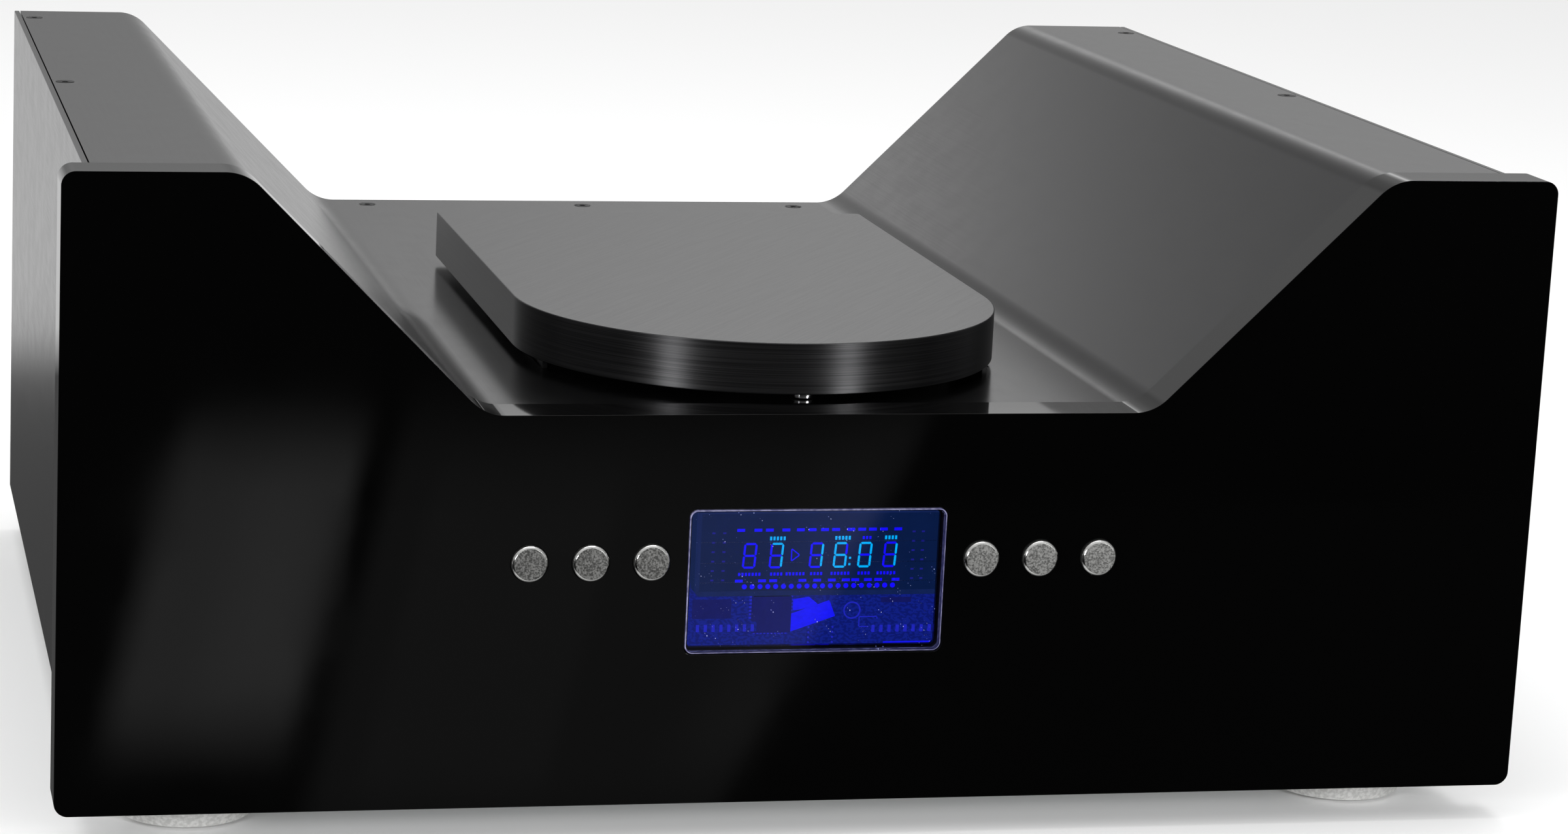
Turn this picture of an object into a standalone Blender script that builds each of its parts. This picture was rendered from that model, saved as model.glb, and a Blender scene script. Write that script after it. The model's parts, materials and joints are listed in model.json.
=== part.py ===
"""Top-loading CD player with a sliding lid, as an assembly of separate pieces.

Run it with: blender --background --python part.py, or from Blender's text editor.
Lengths are in metres. X runs to the right as seen from the front, Y from the front to the rear and
Z up. The origin is at the centre of the outer box, on the surface that the feet stand on.
"""

import math

import bmesh
import bpy
from mathutils import Matrix, Vector

# Overall sizes
PANEL_WIDTH = 0.430
PANEL_HEIGHT = 0.1815
PANEL_THICKNESS = 0.015
OVERALL_DEPTH = 0.370
FOOT_DROP = 0.0105

# Valley in the top of the player, as the front panel has it
VALLEY_FLOOR_HEIGHT = 0.1137
VALLEY_FLOOR_HALF = 0.097
PLATEAU_WIDTH = 0.050
BEND_RADIUS = 0.014

# Clearances
JOINT_GAP = 0.0003
OVERRUN = 0.001
MERGE_DISTANCE = 0.00001

# Front panel
PANEL_CORNER_RADIUS = 0.004
PANEL_CHAMFER = 0.0004

# Display window and its pane
WINDOW_WIDTH = 0.0758
WINDOW_HEIGHT = 0.0426
WINDOW_CORNER_RADIUS = 0.0025
WINDOW_LEDGE = 0.0013
WINDOW_HEIGHT_SHARE = 0.573
WINDOW_LEDGE_THICKNESS = 0.0015
WINDOW_POCKET_MARGIN = 0.0026
PANE_THICKNESS = 0.004
PANE_CHAMFER = 0.0005

# Push buttons
BUTTONS_PER_SIDE = 3
BUTTON_RADIUS = 0.0052
BUTTON_PROUD = 0.0016
BUTTON_CHAMFER = 0.0006
BUTTON_WINDOW_GAP = 0.0103
BUTTON_SPACING = 0.0175
BUTTON_HEIGHT_SHARE = 0.627
BUTTON_FLANGE_WIDTH = 0.0012
BUTTON_FLANGE_THICKNESS = 0.0011
BUTTON_POCKET_DEPTH = 0.003
BUTTON_STEM_RADIUS = 0.0025
BUTTON_TRAVEL = 0.001
SWITCH_CLEARANCE = 0.0002
STEM_HOLE_CLEARANCE = 0.001

# Sheets and bars of the casing
COVER_DROP = 0.001
COVER_THICKNESS = 0.003
BODY_SIDE_INSET = 0.007
BODY_RAISE = 0.006
SIDE_THICKNESS = 0.0018
BASE_THICKNESS = 0.003
SUBPANEL_THICKNESS = 0.003
SUBPANEL_WINDOW_MARGIN = 0.0035
REAR_THICKNESS = 0.003
REAR_RECESS = 0.001
FRAME_BAR = 0.012
CROSSBAR_INSET = 0.004

# Countersunk socket screws that hold the cover down
SCREW_HEAD_RADIUS = 0.0029
SCREW_HEAD_DEPTH = 0.0017
SCREW_RADIUS = 0.0015
SCREW_LENGTH = 0.0095
SCREW_SOCKET_RADIUS = 0.00115
SCREW_SOCKET_DEPTH = 0.0012
SCREW_SIDE_INSET = 0.006
SCREW_REAR_INSET = 0.010
FLOOR_SCREW_SHARE = 0.825
PLATEAU_SCREW_SHARES = (0.476, 0.945)

# Feet
FOOT_RADIUS = 0.021
FOOT_TREAD_RADIUS = 0.0196
FOOT_CHAMFER_HEIGHT = 0.0045
FOOT_PANEL_GAP = 0.001
FOOT_SIDE_INSET = 0.012
FOOT_REAR_INSET = 0.016

# Disc and the well that it lies in
DISC_RADIUS = 0.060
DISC_CLEARANCE = 0.002
WELL_DEPTH = 0.0195
WELL_WALL = 0.0015
WELL_BOTTOM = 0.002
WELL_FLANGE_WIDTH = 0.002
WELL_FLANGE_THICKNESS = 0.002
WELL_HUB_CLEARANCE = 0.0025
PICKUP_SLOT_HALF = 0.0075
PICKUP_SLOT_RISE = 0.0055

# Sliding lid
LID_MARGIN = 0.0114
LID_THICKNESS = 0.015
LID_FLOOR_GAP = 0.0023
LID_PANEL_GAP = 0.0045
LID_LENGTH = 0.2235
LID_REAR_RADIUS = 0.002
LID_CHAMFER = 0.0004
LID_CLEAR_MARGIN = 0.0015
BUMPER_RADIUS = 0.00315
BUMPER_FRONT_INSET = 0.007
BUMPER_STEM_RADIUS = 0.0015
BUMPER_STEM_LENGTH = 0.004

# Lid carriers and the rails that they slide on
BLADE_THICKNESS = 0.0016
BLADE_WELL_GAP = 0.0012
BLADE_LENGTH = 0.034
BLADE_EDGE_GAP = 0.0035
BLADE_LID_DEPTH = 0.006
SLIDE_CLEARANCE = 0.0004
CARRIER_WALL = 0.003
CARRIER_COVER_GAP = 0.001
RAIL_WIDTH = 0.008
RAIL_HEIGHT = 0.008
RAIL_STEM_WIDTH = 0.004
RAIL_FOOT_THICKNESS = 0.003
RAIL_OVERHANG = 0.008

# Disc transport
CHASSIS_HALF_WIDTH = 0.048
CHASSIS_FRONT_REACH = 0.048
CHASSIS_REAR_MARGIN = 0.004
CHASSIS_THICKNESS = 0.003
ISOLATOR_HEIGHT = 0.0136
ISOLATOR_RADIUS = 0.006
ISOLATOR_WAIST_SHARE = 0.7
ISOLATOR_OFFSET = 0.039
MOTOR_RADIUS = 0.013
MOTOR_HEIGHT = 0.0115
MOTOR_BORE_DEPTH = 0.008
SPINDLE_RADIUS = 0.0015
HUB_COLLAR_RADIUS = 0.005
HUB_RADIUS = 0.015
HUB_THICKNESS = 0.003
HUB_WELL_RISE = 0.0027
BOSS_RADIUS = 0.0073
BOSS_HEIGHT = 0.0022
BOSS_CHAMFER = 0.001
CLAMP_RADIUS = 0.017
CLAMP_HEIGHT = 0.008
CLAMP_NECK_RADIUS = 0.006
CLAMP_NECK_HEIGHT = 0.0012
CLAMP_KNOB_RADIUS = 0.0085
CLAMP_KNOB_HEIGHT = 0.002
LENS_FIRST_RADIUS = 0.0235
SLED_TRAVEL = 0.035
SLED_LENGTH = 0.020
SLED_HEIGHT = 0.010
SLED_CHASSIS_GAP = 0.003
SLED_EDGE = 0.0045
TOWER_HALF = 0.005
TOWER_HEIGHT = 0.0055
LENS_RADIUS = 0.003
LENS_HEIGHT = 0.0012
LENS_SHOULDER_SHARE = 0.85
ROD_RADIUS = 0.0015
ROD_OFFSET = 0.017
ROD_HOLDER_LENGTH = 0.005
ROD_HOLDER_HALF = 0.004
SLED_STOP_GAP = 0.0025
LEAD_SCREW_RADIUS = 0.0015
LEAD_SCREW_OFFSET = 0.0265
SLED_MOTOR_LENGTH = 0.016
SLED_MOTOR_BORE_DEPTH = 0.004
SLED_MOTOR_GAP = 0.001

# Control board and display tube behind the front panel
TUBE_WIDTH = 0.073
TUBE_HEIGHT = 0.0255
TUBE_THICKNESS = 0.006
TUBE_RAISE = 0.0033
TUBE_SHIFT = 0.0059
TUBE_CORNER_RADIUS = 0.0015
TUBE_CHAMFER = 0.0008
TUBE_SUBPANEL_GAP = 0.0024
BOARD_THICKNESS = 0.0016
CONTROL_BOARD_HEIGHT = 0.052
CONTROL_BOARD_TOP_MARGIN = 0.0015
CONTROL_BOARD_SIDE_MARGIN = 0.012
SWITCH_HALF = 0.003
SWITCH_BODY_DEPTH = 0.003
SWITCH_PLUNGER_RADIUS = 0.00175
SWITCH_PLUNGER_REACH = 0.001
BOARD_POST_RADIUS = 0.0025
BOARD_POST_INSET = 0.0045
DRIVER_CHIP_HALF = 0.0055
DRIVER_CHIP_THICKNESS = 0.0016
DRIVER_CHIP_TUBE_GAP = 0.001
DRIVER_CHIP_SHARE = -0.17
HEADER_HALF_WIDTH = 0.009
HEADER_HEIGHT = 0.0022
HEADER_THICKNESS = 0.003
HEADER_TUBE_GAP = 0.009
HEADER_SHARE = 0.36

# Main board on the base plate
MAIN_BOARD_DEPTH = 0.130
MAIN_BOARD_SIDE_GAP = 0.012
MAIN_BOARD_REAR_GAP = 0.022
MAIN_BOARD_TRANSFORMER_GAP = 0.0398
MAIN_BOARD_RAISE = 0.006
MAIN_POST_RADIUS = 0.003
MAIN_POST_INSET = 0.008
CHIP_HALF = 0.009
CHIP_THICKNESS = 0.0025
CHIP_PLACE_SHARES = ((0.02, 0.10), (0.20, 0.22), (0.36, 0.02), (0.38, 0.30))
HEAT_SINK_LENGTH = 0.060
HEAT_SINK_DEPTH = 0.022
HEAT_SINK_HEIGHT = 0.026
HEAT_SINK_WEB = 0.003
HEAT_SINK_FIN = 0.0025
HEAT_SINK_SLOTS = 4
HEAT_SINK_PLACE_SHARES = (0.20, -0.28)
CAPACITOR_RADIUS = 0.0125
CAPACITOR_HEIGHT = 0.035
CAPACITOR_CHAMFER = 0.001
CAPACITOR_PLACE_SHARES = ((-0.40, -0.22), (-0.24, -0.22))

# Mains transformer on the base plate
TRANSFORMER_RADIUS = 0.045
TRANSFORMER_HEIGHT = 0.038
TRANSFORMER_ROUND = 0.009
TRANSFORMER_DISH_RADIUS = 0.016
TRANSFORMER_DISH_DEPTH = 0.003
TRANSFORMER_SIDE_GAP = 0.020
TRANSFORMER_REAR_GAP = 0.060

# Mains inlet and its rocker switch on the rear panel
CONNECTOR_HEIGHT = 0.039
INLET_SIDE_GAP = 0.040
INLET_CAVITY_WIDTH = 0.0245
INLET_CAVITY_HEIGHT = 0.0165
INLET_CAVITY_DEPTH = 0.017
INLET_WALL = 0.0026
INLET_BACK_WALL = 0.005
INLET_FLANGE_RIM = 0.003
INLET_FLANGE_THICKNESS = 0.0024
INLET_CORNER_RADIUS = 0.002
PIN_HALF_THICKNESS = 0.001
PIN_HALF_HEIGHT = 0.002
PIN_MOUTH_GAP = 0.005
PIN_PLACE_SHARES = ((-0.28, -0.12), (0.0, 0.12), (0.28, -0.12))
ROCKER_HALF_WIDTH = 0.0065
ROCKER_HALF_LENGTH = 0.009
ROCKER_TILT = math.radians(8)
ROCKER_PIVOT_INSET = 0.003
ROCKER_BACK = 0.001
ROCKER_HUB_HALF = 0.003
ROCKER_HUB_DEPTH = 0.004
ROCKER_CLEARANCE = 0.0005
ROCKER_BAY_DEPTH = 0.008
PIVOT_RADIUS = 0.0012
PIVOT_LENGTH = 0.0014

# Jacks on the rear panel
JACK_REACH = 0.010
JACK_BARREL_RADIUS = 0.00415
JACK_FLANGE_RADIUS = 0.006
JACK_FLANGE_THICKNESS = 0.0015
JACK_BORE_RADIUS = 0.0016
JACK_BORE_DEPTH = 0.0075
JACK_TAIL_RADIUS = 0.0035
JACK_TAIL_LENGTH = 0.008
JACK_SIDE_GAP = 0.055
JACK_SPACING = 0.040

# Names and signs of the two sides
SIDES = (("left", -1), ("right", 1))

# Fineness of round shapes
ARC_STEP = math.radians(7.5)
FINE_STEP = math.radians(3)
COARSE_STEP = math.radians(18)
WELL_SEGMENTS = 60
FOOT_SEGMENTS = 36
ROUND_SEGMENTS = 24
SMALL_SEGMENTS = 12
HEX_SEGMENTS = 6
SHARP_ANGLE = math.radians(35)

# Heights that follow from the sizes
PANEL_BOTTOM_Z = FOOT_DROP
PANEL_TOP_Z = PANEL_BOTTOM_Z + PANEL_HEIGHT
BODY_BOTTOM_Z = PANEL_BOTTOM_Z + BODY_RAISE
BASE_TOP_Z = BODY_BOTTOM_Z + BASE_THICKNESS
COVER_TOP_Z = PANEL_TOP_Z - COVER_DROP
FRAME_TOP_Z = COVER_TOP_Z - COVER_THICKNESS - JOINT_GAP
FLOOR_Z = PANEL_BOTTOM_Z + VALLEY_FLOOR_HEIGHT - COVER_DROP
FLOOR_UNDER_Z = FLOOR_Z - COVER_THICKNESS
SEAT_TOP_Z = FLOOR_UNDER_Z - JOINT_GAP
WINDOW_Z = PANEL_BOTTOM_Z + WINDOW_HEIGHT_SHARE * VALLEY_FLOOR_HEIGHT
BUTTON_Z = PANEL_BOTTOM_Z + BUTTON_HEIGHT_SHARE * VALLEY_FLOOR_HEIGHT
TUBE_Z = WINDOW_Z + TUBE_RAISE
LID_BOTTOM_Z = FLOOR_Z + LID_FLOOR_GAP
WELL_BOTTOM_Z = FLOOR_Z - WELL_DEPTH
WELL_UNDER_Z = WELL_BOTTOM_Z - WELL_BOTTOM
RAIL_BOTTOM_Z = SEAT_TOP_Z - RAIL_HEIGHT
HUB_Z = WELL_BOTTOM_Z + HUB_WELL_RISE
CHASSIS_TOP_Z = WELL_UNDER_Z - ISOLATOR_HEIGHT - 2 * JOINT_GAP
ROD_Z = CHASSIS_TOP_Z + SLED_CHASSIS_GAP + SLED_HEIGHT / 2
SLED_TOP_Z = ROD_Z + SLED_HEIGHT / 2
HUB_TOP_Z = HUB_Z + HUB_THICKNESS
MAIN_BOARD_TOP_Z = BASE_TOP_Z + MAIN_BOARD_RAISE + BOARD_THICKNESS
CONNECTOR_Z = PANEL_BOTTOM_Z + CONNECTOR_HEIGHT
ROCKER_BAY_HALF = ROCKER_HALF_LENGTH + ROCKER_CLEARANCE
INLET_HALF_HEIGHT = (INLET_CAVITY_HEIGHT + 2 * ROCKER_BAY_HALF + 3 * INLET_WALL) / 2
INLET_CAVITY_Z = CONNECTOR_Z - INLET_HALF_HEIGHT + INLET_WALL + INLET_CAVITY_HEIGHT / 2
ROCKER_Z = CONNECTOR_Z + INLET_HALF_HEIGHT - INLET_WALL - ROCKER_BAY_HALF

# Half widths and places across that follow from the sizes
BODY_HALF = PANEL_WIDTH / 2 - BODY_SIDE_INSET
INNER_HALF = BODY_HALF - SIDE_THICKNESS - JOINT_GAP
VALLEY_TOP_HALF = PANEL_WIDTH / 2 - PLATEAU_WIDTH
TRANSFORMER_INNER_X = TRANSFORMER_SIDE_GAP + 2 * TRANSFORMER_RADIUS - INNER_HALF
MAIN_BOARD_LEFT_X = TRANSFORMER_INNER_X + MAIN_BOARD_TRANSFORMER_GAP
MAIN_BOARD_RIGHT_X = INNER_HALF - MAIN_BOARD_SIDE_GAP
MAIN_BOARD_WIDTH = MAIN_BOARD_RIGHT_X - MAIN_BOARD_LEFT_X
FIRST_BUTTON_X = WINDOW_WIDTH / 2 + BUTTON_WINDOW_GAP
LAST_BUTTON_X = FIRST_BUTTON_X + (BUTTONS_PER_SIDE - 1) * BUTTON_SPACING
BUTTON_FLANGE_RADIUS = BUTTON_RADIUS + BUTTON_FLANGE_WIDTH
WELL_RADIUS = DISC_RADIUS + DISC_CLEARANCE
WELL_FLANGE_RADIUS = WELL_RADIUS + WELL_WALL + WELL_FLANGE_WIDTH
LID_HALF = WELL_RADIUS + LID_MARGIN
BLADE_INNER_X = WELL_FLANGE_RADIUS + BLADE_WELL_GAP
BLADE_OUTER_X = BLADE_INNER_X + BLADE_THICKNESS
RAIL_INNER_X = BLADE_INNER_X + CARRIER_WALL + SLIDE_CLEARANCE
RAIL_OUTER_X = RAIL_INNER_X + RAIL_WIDTH
RAIL_MIDDLE_X = (RAIL_INNER_X + RAIL_OUTER_X) / 2
ROD_PLACES = (-ROD_OFFSET, ROD_OFFSET)
INLET_HALF_WIDTH = INLET_CAVITY_WIDTH / 2 + INLET_WALL
INLET_X = -(INNER_HALF - INLET_SIDE_GAP - INLET_HALF_WIDTH)

# Depths behind the front panel's face that follow from the sizes
BODY_START = PANEL_THICKNESS + JOINT_GAP
SUBPANEL_BACK = BODY_START + SUBPANEL_THICKNESS
REAR_FACE = OVERALL_DEPTH - REAR_RECESS
REAR_INNER = REAR_FACE - REAR_THICKNESS
FRAME_END = REAR_INNER - JOINT_GAP
BUTTON_POCKET_START = PANEL_THICKNESS - BUTTON_POCKET_DEPTH
TUBE_FRONT = SUBPANEL_BACK + TUBE_SUBPANEL_GAP
BOARD_FRONT = TUBE_FRONT + TUBE_THICKNESS + JOINT_GAP
PLUNGER_FRONT = BOARD_FRONT - SWITCH_BODY_DEPTH - SWITCH_PLUNGER_REACH
LID_FRONT = PANEL_THICKNESS + LID_PANEL_GAP
SPINDLE_DEPTH = LID_FRONT + LID_HALF
LID_TRAVEL = SPINDLE_DEPTH + DISC_RADIUS + LID_CLEAR_MARGIN - LID_FRONT
BLADE_FRONT = SPINDLE_DEPTH - math.sqrt(LID_HALF**2 - BLADE_OUTER_X**2) + BLADE_EDGE_GAP
BLADE_REAR = BLADE_FRONT + BLADE_LENGTH
SCREW_DEPTH = OVERALL_DEPTH - SCREW_REAR_INSET
INLET_FACE = REAR_FACE + JOINT_GAP + INLET_FLANGE_THICKNESS
ROCKER_PIVOT_DEPTH = INLET_FACE - ROCKER_PIVOT_INSET
FRONT_Y = -(REAR_FACE + JACK_REACH - BUTTON_PROUD) / 2

# Places on the transport, counted rearwards from the spindle
FRONT_HOLDER = LENS_FIRST_RADIUS - SLED_LENGTH / 2 - SLED_STOP_GAP - ROD_HOLDER_LENGTH
REAR_HOLDER = LENS_FIRST_RADIUS + SLED_TRAVEL + SLED_LENGTH / 2 + SLED_STOP_GAP
REAR_HOLDER_END = REAR_HOLDER + ROD_HOLDER_LENGTH
SLED_MOTOR_START = REAR_HOLDER_END + SLED_MOTOR_GAP
CHASSIS_REAR_REACH = SLED_MOTOR_START + SLED_MOTOR_LENGTH + CHASSIS_REAR_MARGIN

# Base colour, metallic value and roughness of each finish
FINISHES = {
    "acrylic_black": ((0.006, 0.006, 0.007), 0.0, 0.06),
    "pane_blue": ((0.03, 0.04, 0.30), 0.0, 0.08),
    "anodised_grey": ((0.19, 0.19, 0.195), 0.9, 0.42),
    "brushed_grey": ((0.22, 0.22, 0.225), 1.0, 0.34),
    "satin_silver": ((0.62, 0.62, 0.62), 1.0, 0.40),
    "blackened_steel": ((0.03, 0.03, 0.03), 0.8, 0.40),
    "zinc_steel": ((0.45, 0.46, 0.47), 1.0, 0.38),
    "black_plastic": ((0.02, 0.02, 0.021), 0.0, 0.45),
    "black_rubber": ((0.03, 0.03, 0.03), 0.0, 0.85),
    "circuit_board": ((0.02, 0.16, 0.07), 0.0, 0.45),
    "tube_glass": ((0.03, 0.05, 0.22), 0.0, 0.10),
    "lens_glass": ((0.35, 0.45, 0.75), 0.0, 0.05),
    "polished_steel": ((0.70, 0.70, 0.70), 1.0, 0.15),
    "copper_winding": ((0.45, 0.20, 0.05), 0.6, 0.40),
    "gold_plate": ((0.80, 0.56, 0.18), 1.0, 0.22),
}


def finish(name):
    """Gives the material of that name, made on first use."""
    material = bpy.data.materials.get(name)
    if material is None:
        colour, metallic, roughness = FINISHES[name]
        material = bpy.data.materials.new(name)
        material.use_nodes = True
        shader = material.node_tree.nodes["Principled BSDF"]
        shader.inputs["Base Color"].default_value = (*colour, 1.0)
        shader.inputs["Metallic"].default_value = metallic
        shader.inputs["Roughness"].default_value = roughness
    return material


def link_mesh(name, mesh, place):
    """Turns a mesh under construction into an object of that name at a point."""
    data = bpy.data.meshes.new(name)
    mesh.to_mesh(data)
    mesh.free()
    piece = bpy.data.objects.new(name, data)
    piece.location = place
    bpy.context.scene.collection.objects.link(piece)
    return piece


def dress(piece, surface, smooth=False):
    """Gives a piece its material, and smooth shading where it is round."""
    piece.data.materials.append(finish(surface))
    if smooth:
        piece.data.shade_smooth()
        piece.data.set_sharp_from_angle(angle=SHARP_ANGLE)
    return piece


def combine(piece, tool, operation):
    """Adds a Boolean of a piece and a tool, which then hides and stays with the piece."""
    modifier = piece.modifiers.new(tool.name, "BOOLEAN")
    modifier.operation = operation
    modifier.solver = "EXACT"
    modifier.object = tool
    tool.hide_render = True
    tool.display_type = "WIRE"
    tool.parent = piece
    tool.location = tool.location - piece.location


def cut(piece, *tools):
    """Cuts tools from a piece, one after another."""
    for tool in tools:
        combine(piece, tool, "DIFFERENCE")


def join(piece, *tools):
    """Unites tools with a piece, one after another."""
    for tool in tools:
        combine(piece, tool, "UNION")


def carry(name, place, *pieces):
    """Hangs pieces on an empty that stands on their joint's axis."""
    carrier = bpy.data.objects.new(name, None)
    carrier.location = place
    bpy.context.scene.collection.objects.link(carrier)
    for piece in pieces:
        piece.parent = carrier
        piece.location = piece.location - carrier.location


def turn_to(mesh, axis):
    """Turns a mesh that stands along Z so that it lies along another axis."""
    matrix = Vector((0, 0, 1)).rotation_difference(Vector(axis)).to_matrix()
    bmesh.ops.rotate(mesh, cent=(0, 0, 0), matrix=matrix, verts=mesh.verts)


def block(name, across, deep, high):
    """A box from ranges of X, of depth behind the front face, and of height."""
    low = Vector((min(across), FRONT_Y + deep[0], high[0]))
    top = Vector((max(across), FRONT_Y + deep[1], high[1]))
    mesh = bmesh.new()
    bmesh.ops.create_cube(mesh, size=1)
    bmesh.ops.scale(mesh, vec=top - low, verts=mesh.verts)
    return link_mesh(name, mesh, (low + top) / 2)


def rod(name, place, axis, length, radius, segments=SMALL_SEGMENTS):
    """A cylinder that starts at a point and runs along an axis."""
    mesh = bmesh.new()
    bmesh.ops.create_cone(
        mesh, cap_ends=True, segments=segments, radius1=radius, radius2=radius, depth=length
    )
    bmesh.ops.translate(mesh, vec=(0, 0, length / 2), verts=mesh.verts)
    turn_to(mesh, axis)
    return link_mesh(name, mesh, place)


def turned(name, profile, place, axis=(0, 0, 1), segments=ROUND_SEGMENTS):
    """Spins a profile of radius and height, which is a closed loop or runs from axis to axis."""
    mesh = bmesh.new()
    verts = [mesh.verts.new((radius, 0, height)) for radius, height in profile]
    pairs = list(zip(verts, verts[1:]))
    if profile[0][0] > 0:
        pairs.append((verts[-1], verts[0]))
    edges = [mesh.edges.new(pair) for pair in pairs]
    bmesh.ops.spin(
        mesh,
        geom=verts + edges,
        cent=(0, 0, 0),
        axis=(0, 0, 1),
        angle=math.tau,
        steps=segments,
        use_merge=True,
    )
    bmesh.ops.remove_doubles(mesh, verts=mesh.verts, dist=MERGE_DISTANCE)
    bmesh.ops.recalc_face_normals(mesh, faces=mesh.faces)
    turn_to(mesh, axis)
    return link_mesh(name, mesh, place)


def prism(outline, thickness, chamfer):
    """A mesh with an outline in X and Y that rises from zero, with its rims chamfered."""
    mesh = bmesh.new()
    mesh.faces.new([mesh.verts.new((x, y, 0)) for x, y in outline])
    grown = bmesh.ops.extrude_face_region(mesh, geom=mesh.faces[:])["geom"]
    lifted = [item for item in grown if isinstance(item, bmesh.types.BMVert)]
    bmesh.ops.translate(mesh, vec=(0, 0, thickness), verts=lifted)
    bmesh.ops.recalc_face_normals(mesh, faces=mesh.faces)
    if chamfer:
        rims = [edge for edge in mesh.edges if edge.verts[0].co.z == edge.verts[1].co.z]
        bmesh.ops.bevel(
            mesh, geom=rims, offset=chamfer, segments=1, profile=0.5, affect="EDGES", material=-1
        )
    return mesh


def plate(name, outline, deep, chamfer=0):
    """An upright plate with an outline in X and Z, over a range of depth behind the front face."""
    mesh = prism(outline, deep[1] - deep[0], chamfer)
    bmesh.ops.rotate(mesh, cent=(0, 0, 0), matrix=Matrix.Rotation(math.pi / 2, 3, "X"), verts=mesh.verts)
    return link_mesh(name, mesh, (0, FRONT_Y + deep[1], 0))


def slab(name, outline, high, chamfer=0):
    """A level plate with an outline in X and depth, over a range of height."""
    mesh = prism(outline, high[1] - high[0], chamfer)
    return link_mesh(name, mesh, (0, FRONT_Y, high[0]))


def arc_points(centre, radius, start, sweep, step=ARC_STEP):
    """Points on an arc, from its start angle through its sweep."""
    count = max(1, math.ceil(abs(sweep) / step))
    angles = [start + sweep * index / count for index in range(count + 1)]
    return [centre + radius * Vector((math.cos(angle), math.sin(angle))) for angle in angles]


def rounded(corners, radii, step=ARC_STEP):
    """Gives each corner of a path that has a radius an arc that meets both its sides."""
    path = []
    for index, (corner, radius) in enumerate(zip(corners, radii)):
        if radius == 0:
            path.append(corner)
            continue
        before = (corners[index - 1] - corner).normalized()
        after = (corners[(index + 1) % len(corners)] - corner).normalized()
        angle = before.angle(after)
        centre = corner + (before + after).normalized() * radius / math.sin(angle / 2)
        start = corner + before * radius / math.tan(angle / 2) - centre
        sweep = math.copysign(math.pi - angle, after.cross(before))
        path += arc_points(centre, radius, math.atan2(start.y, start.x), sweep, step)
    return path


def rounded_rectangle(x, z, width, height, radius):
    """Outline of a rectangle with round corners about a centre."""
    signs = ((-1, -1), (1, -1), (1, 1), (-1, 1))
    corners = [Vector((x + across * width / 2, z + up * height / 2)) for across, up in signs]
    return rounded(corners, [radius] * len(corners), COARSE_STEP)


def shifted(corners, distance):
    """Moves an open path of straight lines to its right, square to each line."""
    sides = []
    for start, end in zip(corners, corners[1:]):
        along = (end - start).normalized()
        sides.append((start + Vector((along.y, -along.x)) * distance, along))
    path = [sides[0][0]]
    for (point, along), (other, across) in zip(sides, sides[1:]):
        path.append(point + along * (other - point).cross(across) / along.cross(across))
    last = sides[-1][1]
    path.append(corners[-1] + Vector((last.y, -last.x)) * distance)
    return path


def valley_corners(half, drop=0):
    """Corners of the player's top line over a half width, lowered square to itself by a drop."""
    floor_z = PANEL_BOTTOM_Z + VALLEY_FLOOR_HEIGHT
    corners = [
        Vector((-half, PANEL_TOP_Z)),
        Vector((-VALLEY_TOP_HALF, PANEL_TOP_Z)),
        Vector((-VALLEY_FLOOR_HALF, floor_z)),
        Vector((VALLEY_FLOOR_HALF, floor_z)),
        Vector((VALLEY_TOP_HALF, PANEL_TOP_Z)),
        Vector((half, PANEL_TOP_Z)),
    ]
    return shifted(corners, drop)


def valley_radii(end_radius, drop=0):
    """Radius of each corner of the top line: its bends, and the same radius at both its ends."""
    outer = BEND_RADIUS - drop
    inner = BEND_RADIUS + drop
    return (end_radius, outer, inner, inner, outer, end_radius)


def inner_outline():
    """Outline of a sheet that fills the casing from the base plate up to the cover."""
    drop = COVER_DROP + COVER_THICKNESS + JOINT_GAP
    bottom_z = BASE_TOP_Z + JOINT_GAP
    corners = valley_corners(INNER_HALF, drop)
    corners += [Vector((INNER_HALF, bottom_z)), Vector((-INNER_HALF, bottom_z))]
    return rounded(corners, valley_radii(0, drop) + (0, 0))


def behind_spindle(start, end):
    """A range of depth, from a range that is counted rearwards from the spindle."""
    return (SPINDLE_DEPTH + start, SPINDLE_DEPTH + end)


def button_places():
    """The places of the push buttons across, from left to right."""
    right = [FIRST_BUTTON_X + index * BUTTON_SPACING for index in range(BUTTONS_PER_SIDE)]
    return [-x for x in reversed(right)] + right


def cover_screw_places():
    """The places of the cover's screws: across, depth and height of the sheet there."""
    places = []
    for side in (-1, 1):
        for share in PLATEAU_SCREW_SHARES:
            depth = BODY_START + share * (OVERALL_DEPTH - BODY_START)
            places.append((side * (BODY_HALF - SCREW_SIDE_INSET), depth, COVER_TOP_Z))
    for side in (-1, 0, 1):
        places.append((side * FLOOR_SCREW_SHARE * VALLEY_FLOOR_HALF, SCREW_DEPTH, FLOOR_Z))
    return places


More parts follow.
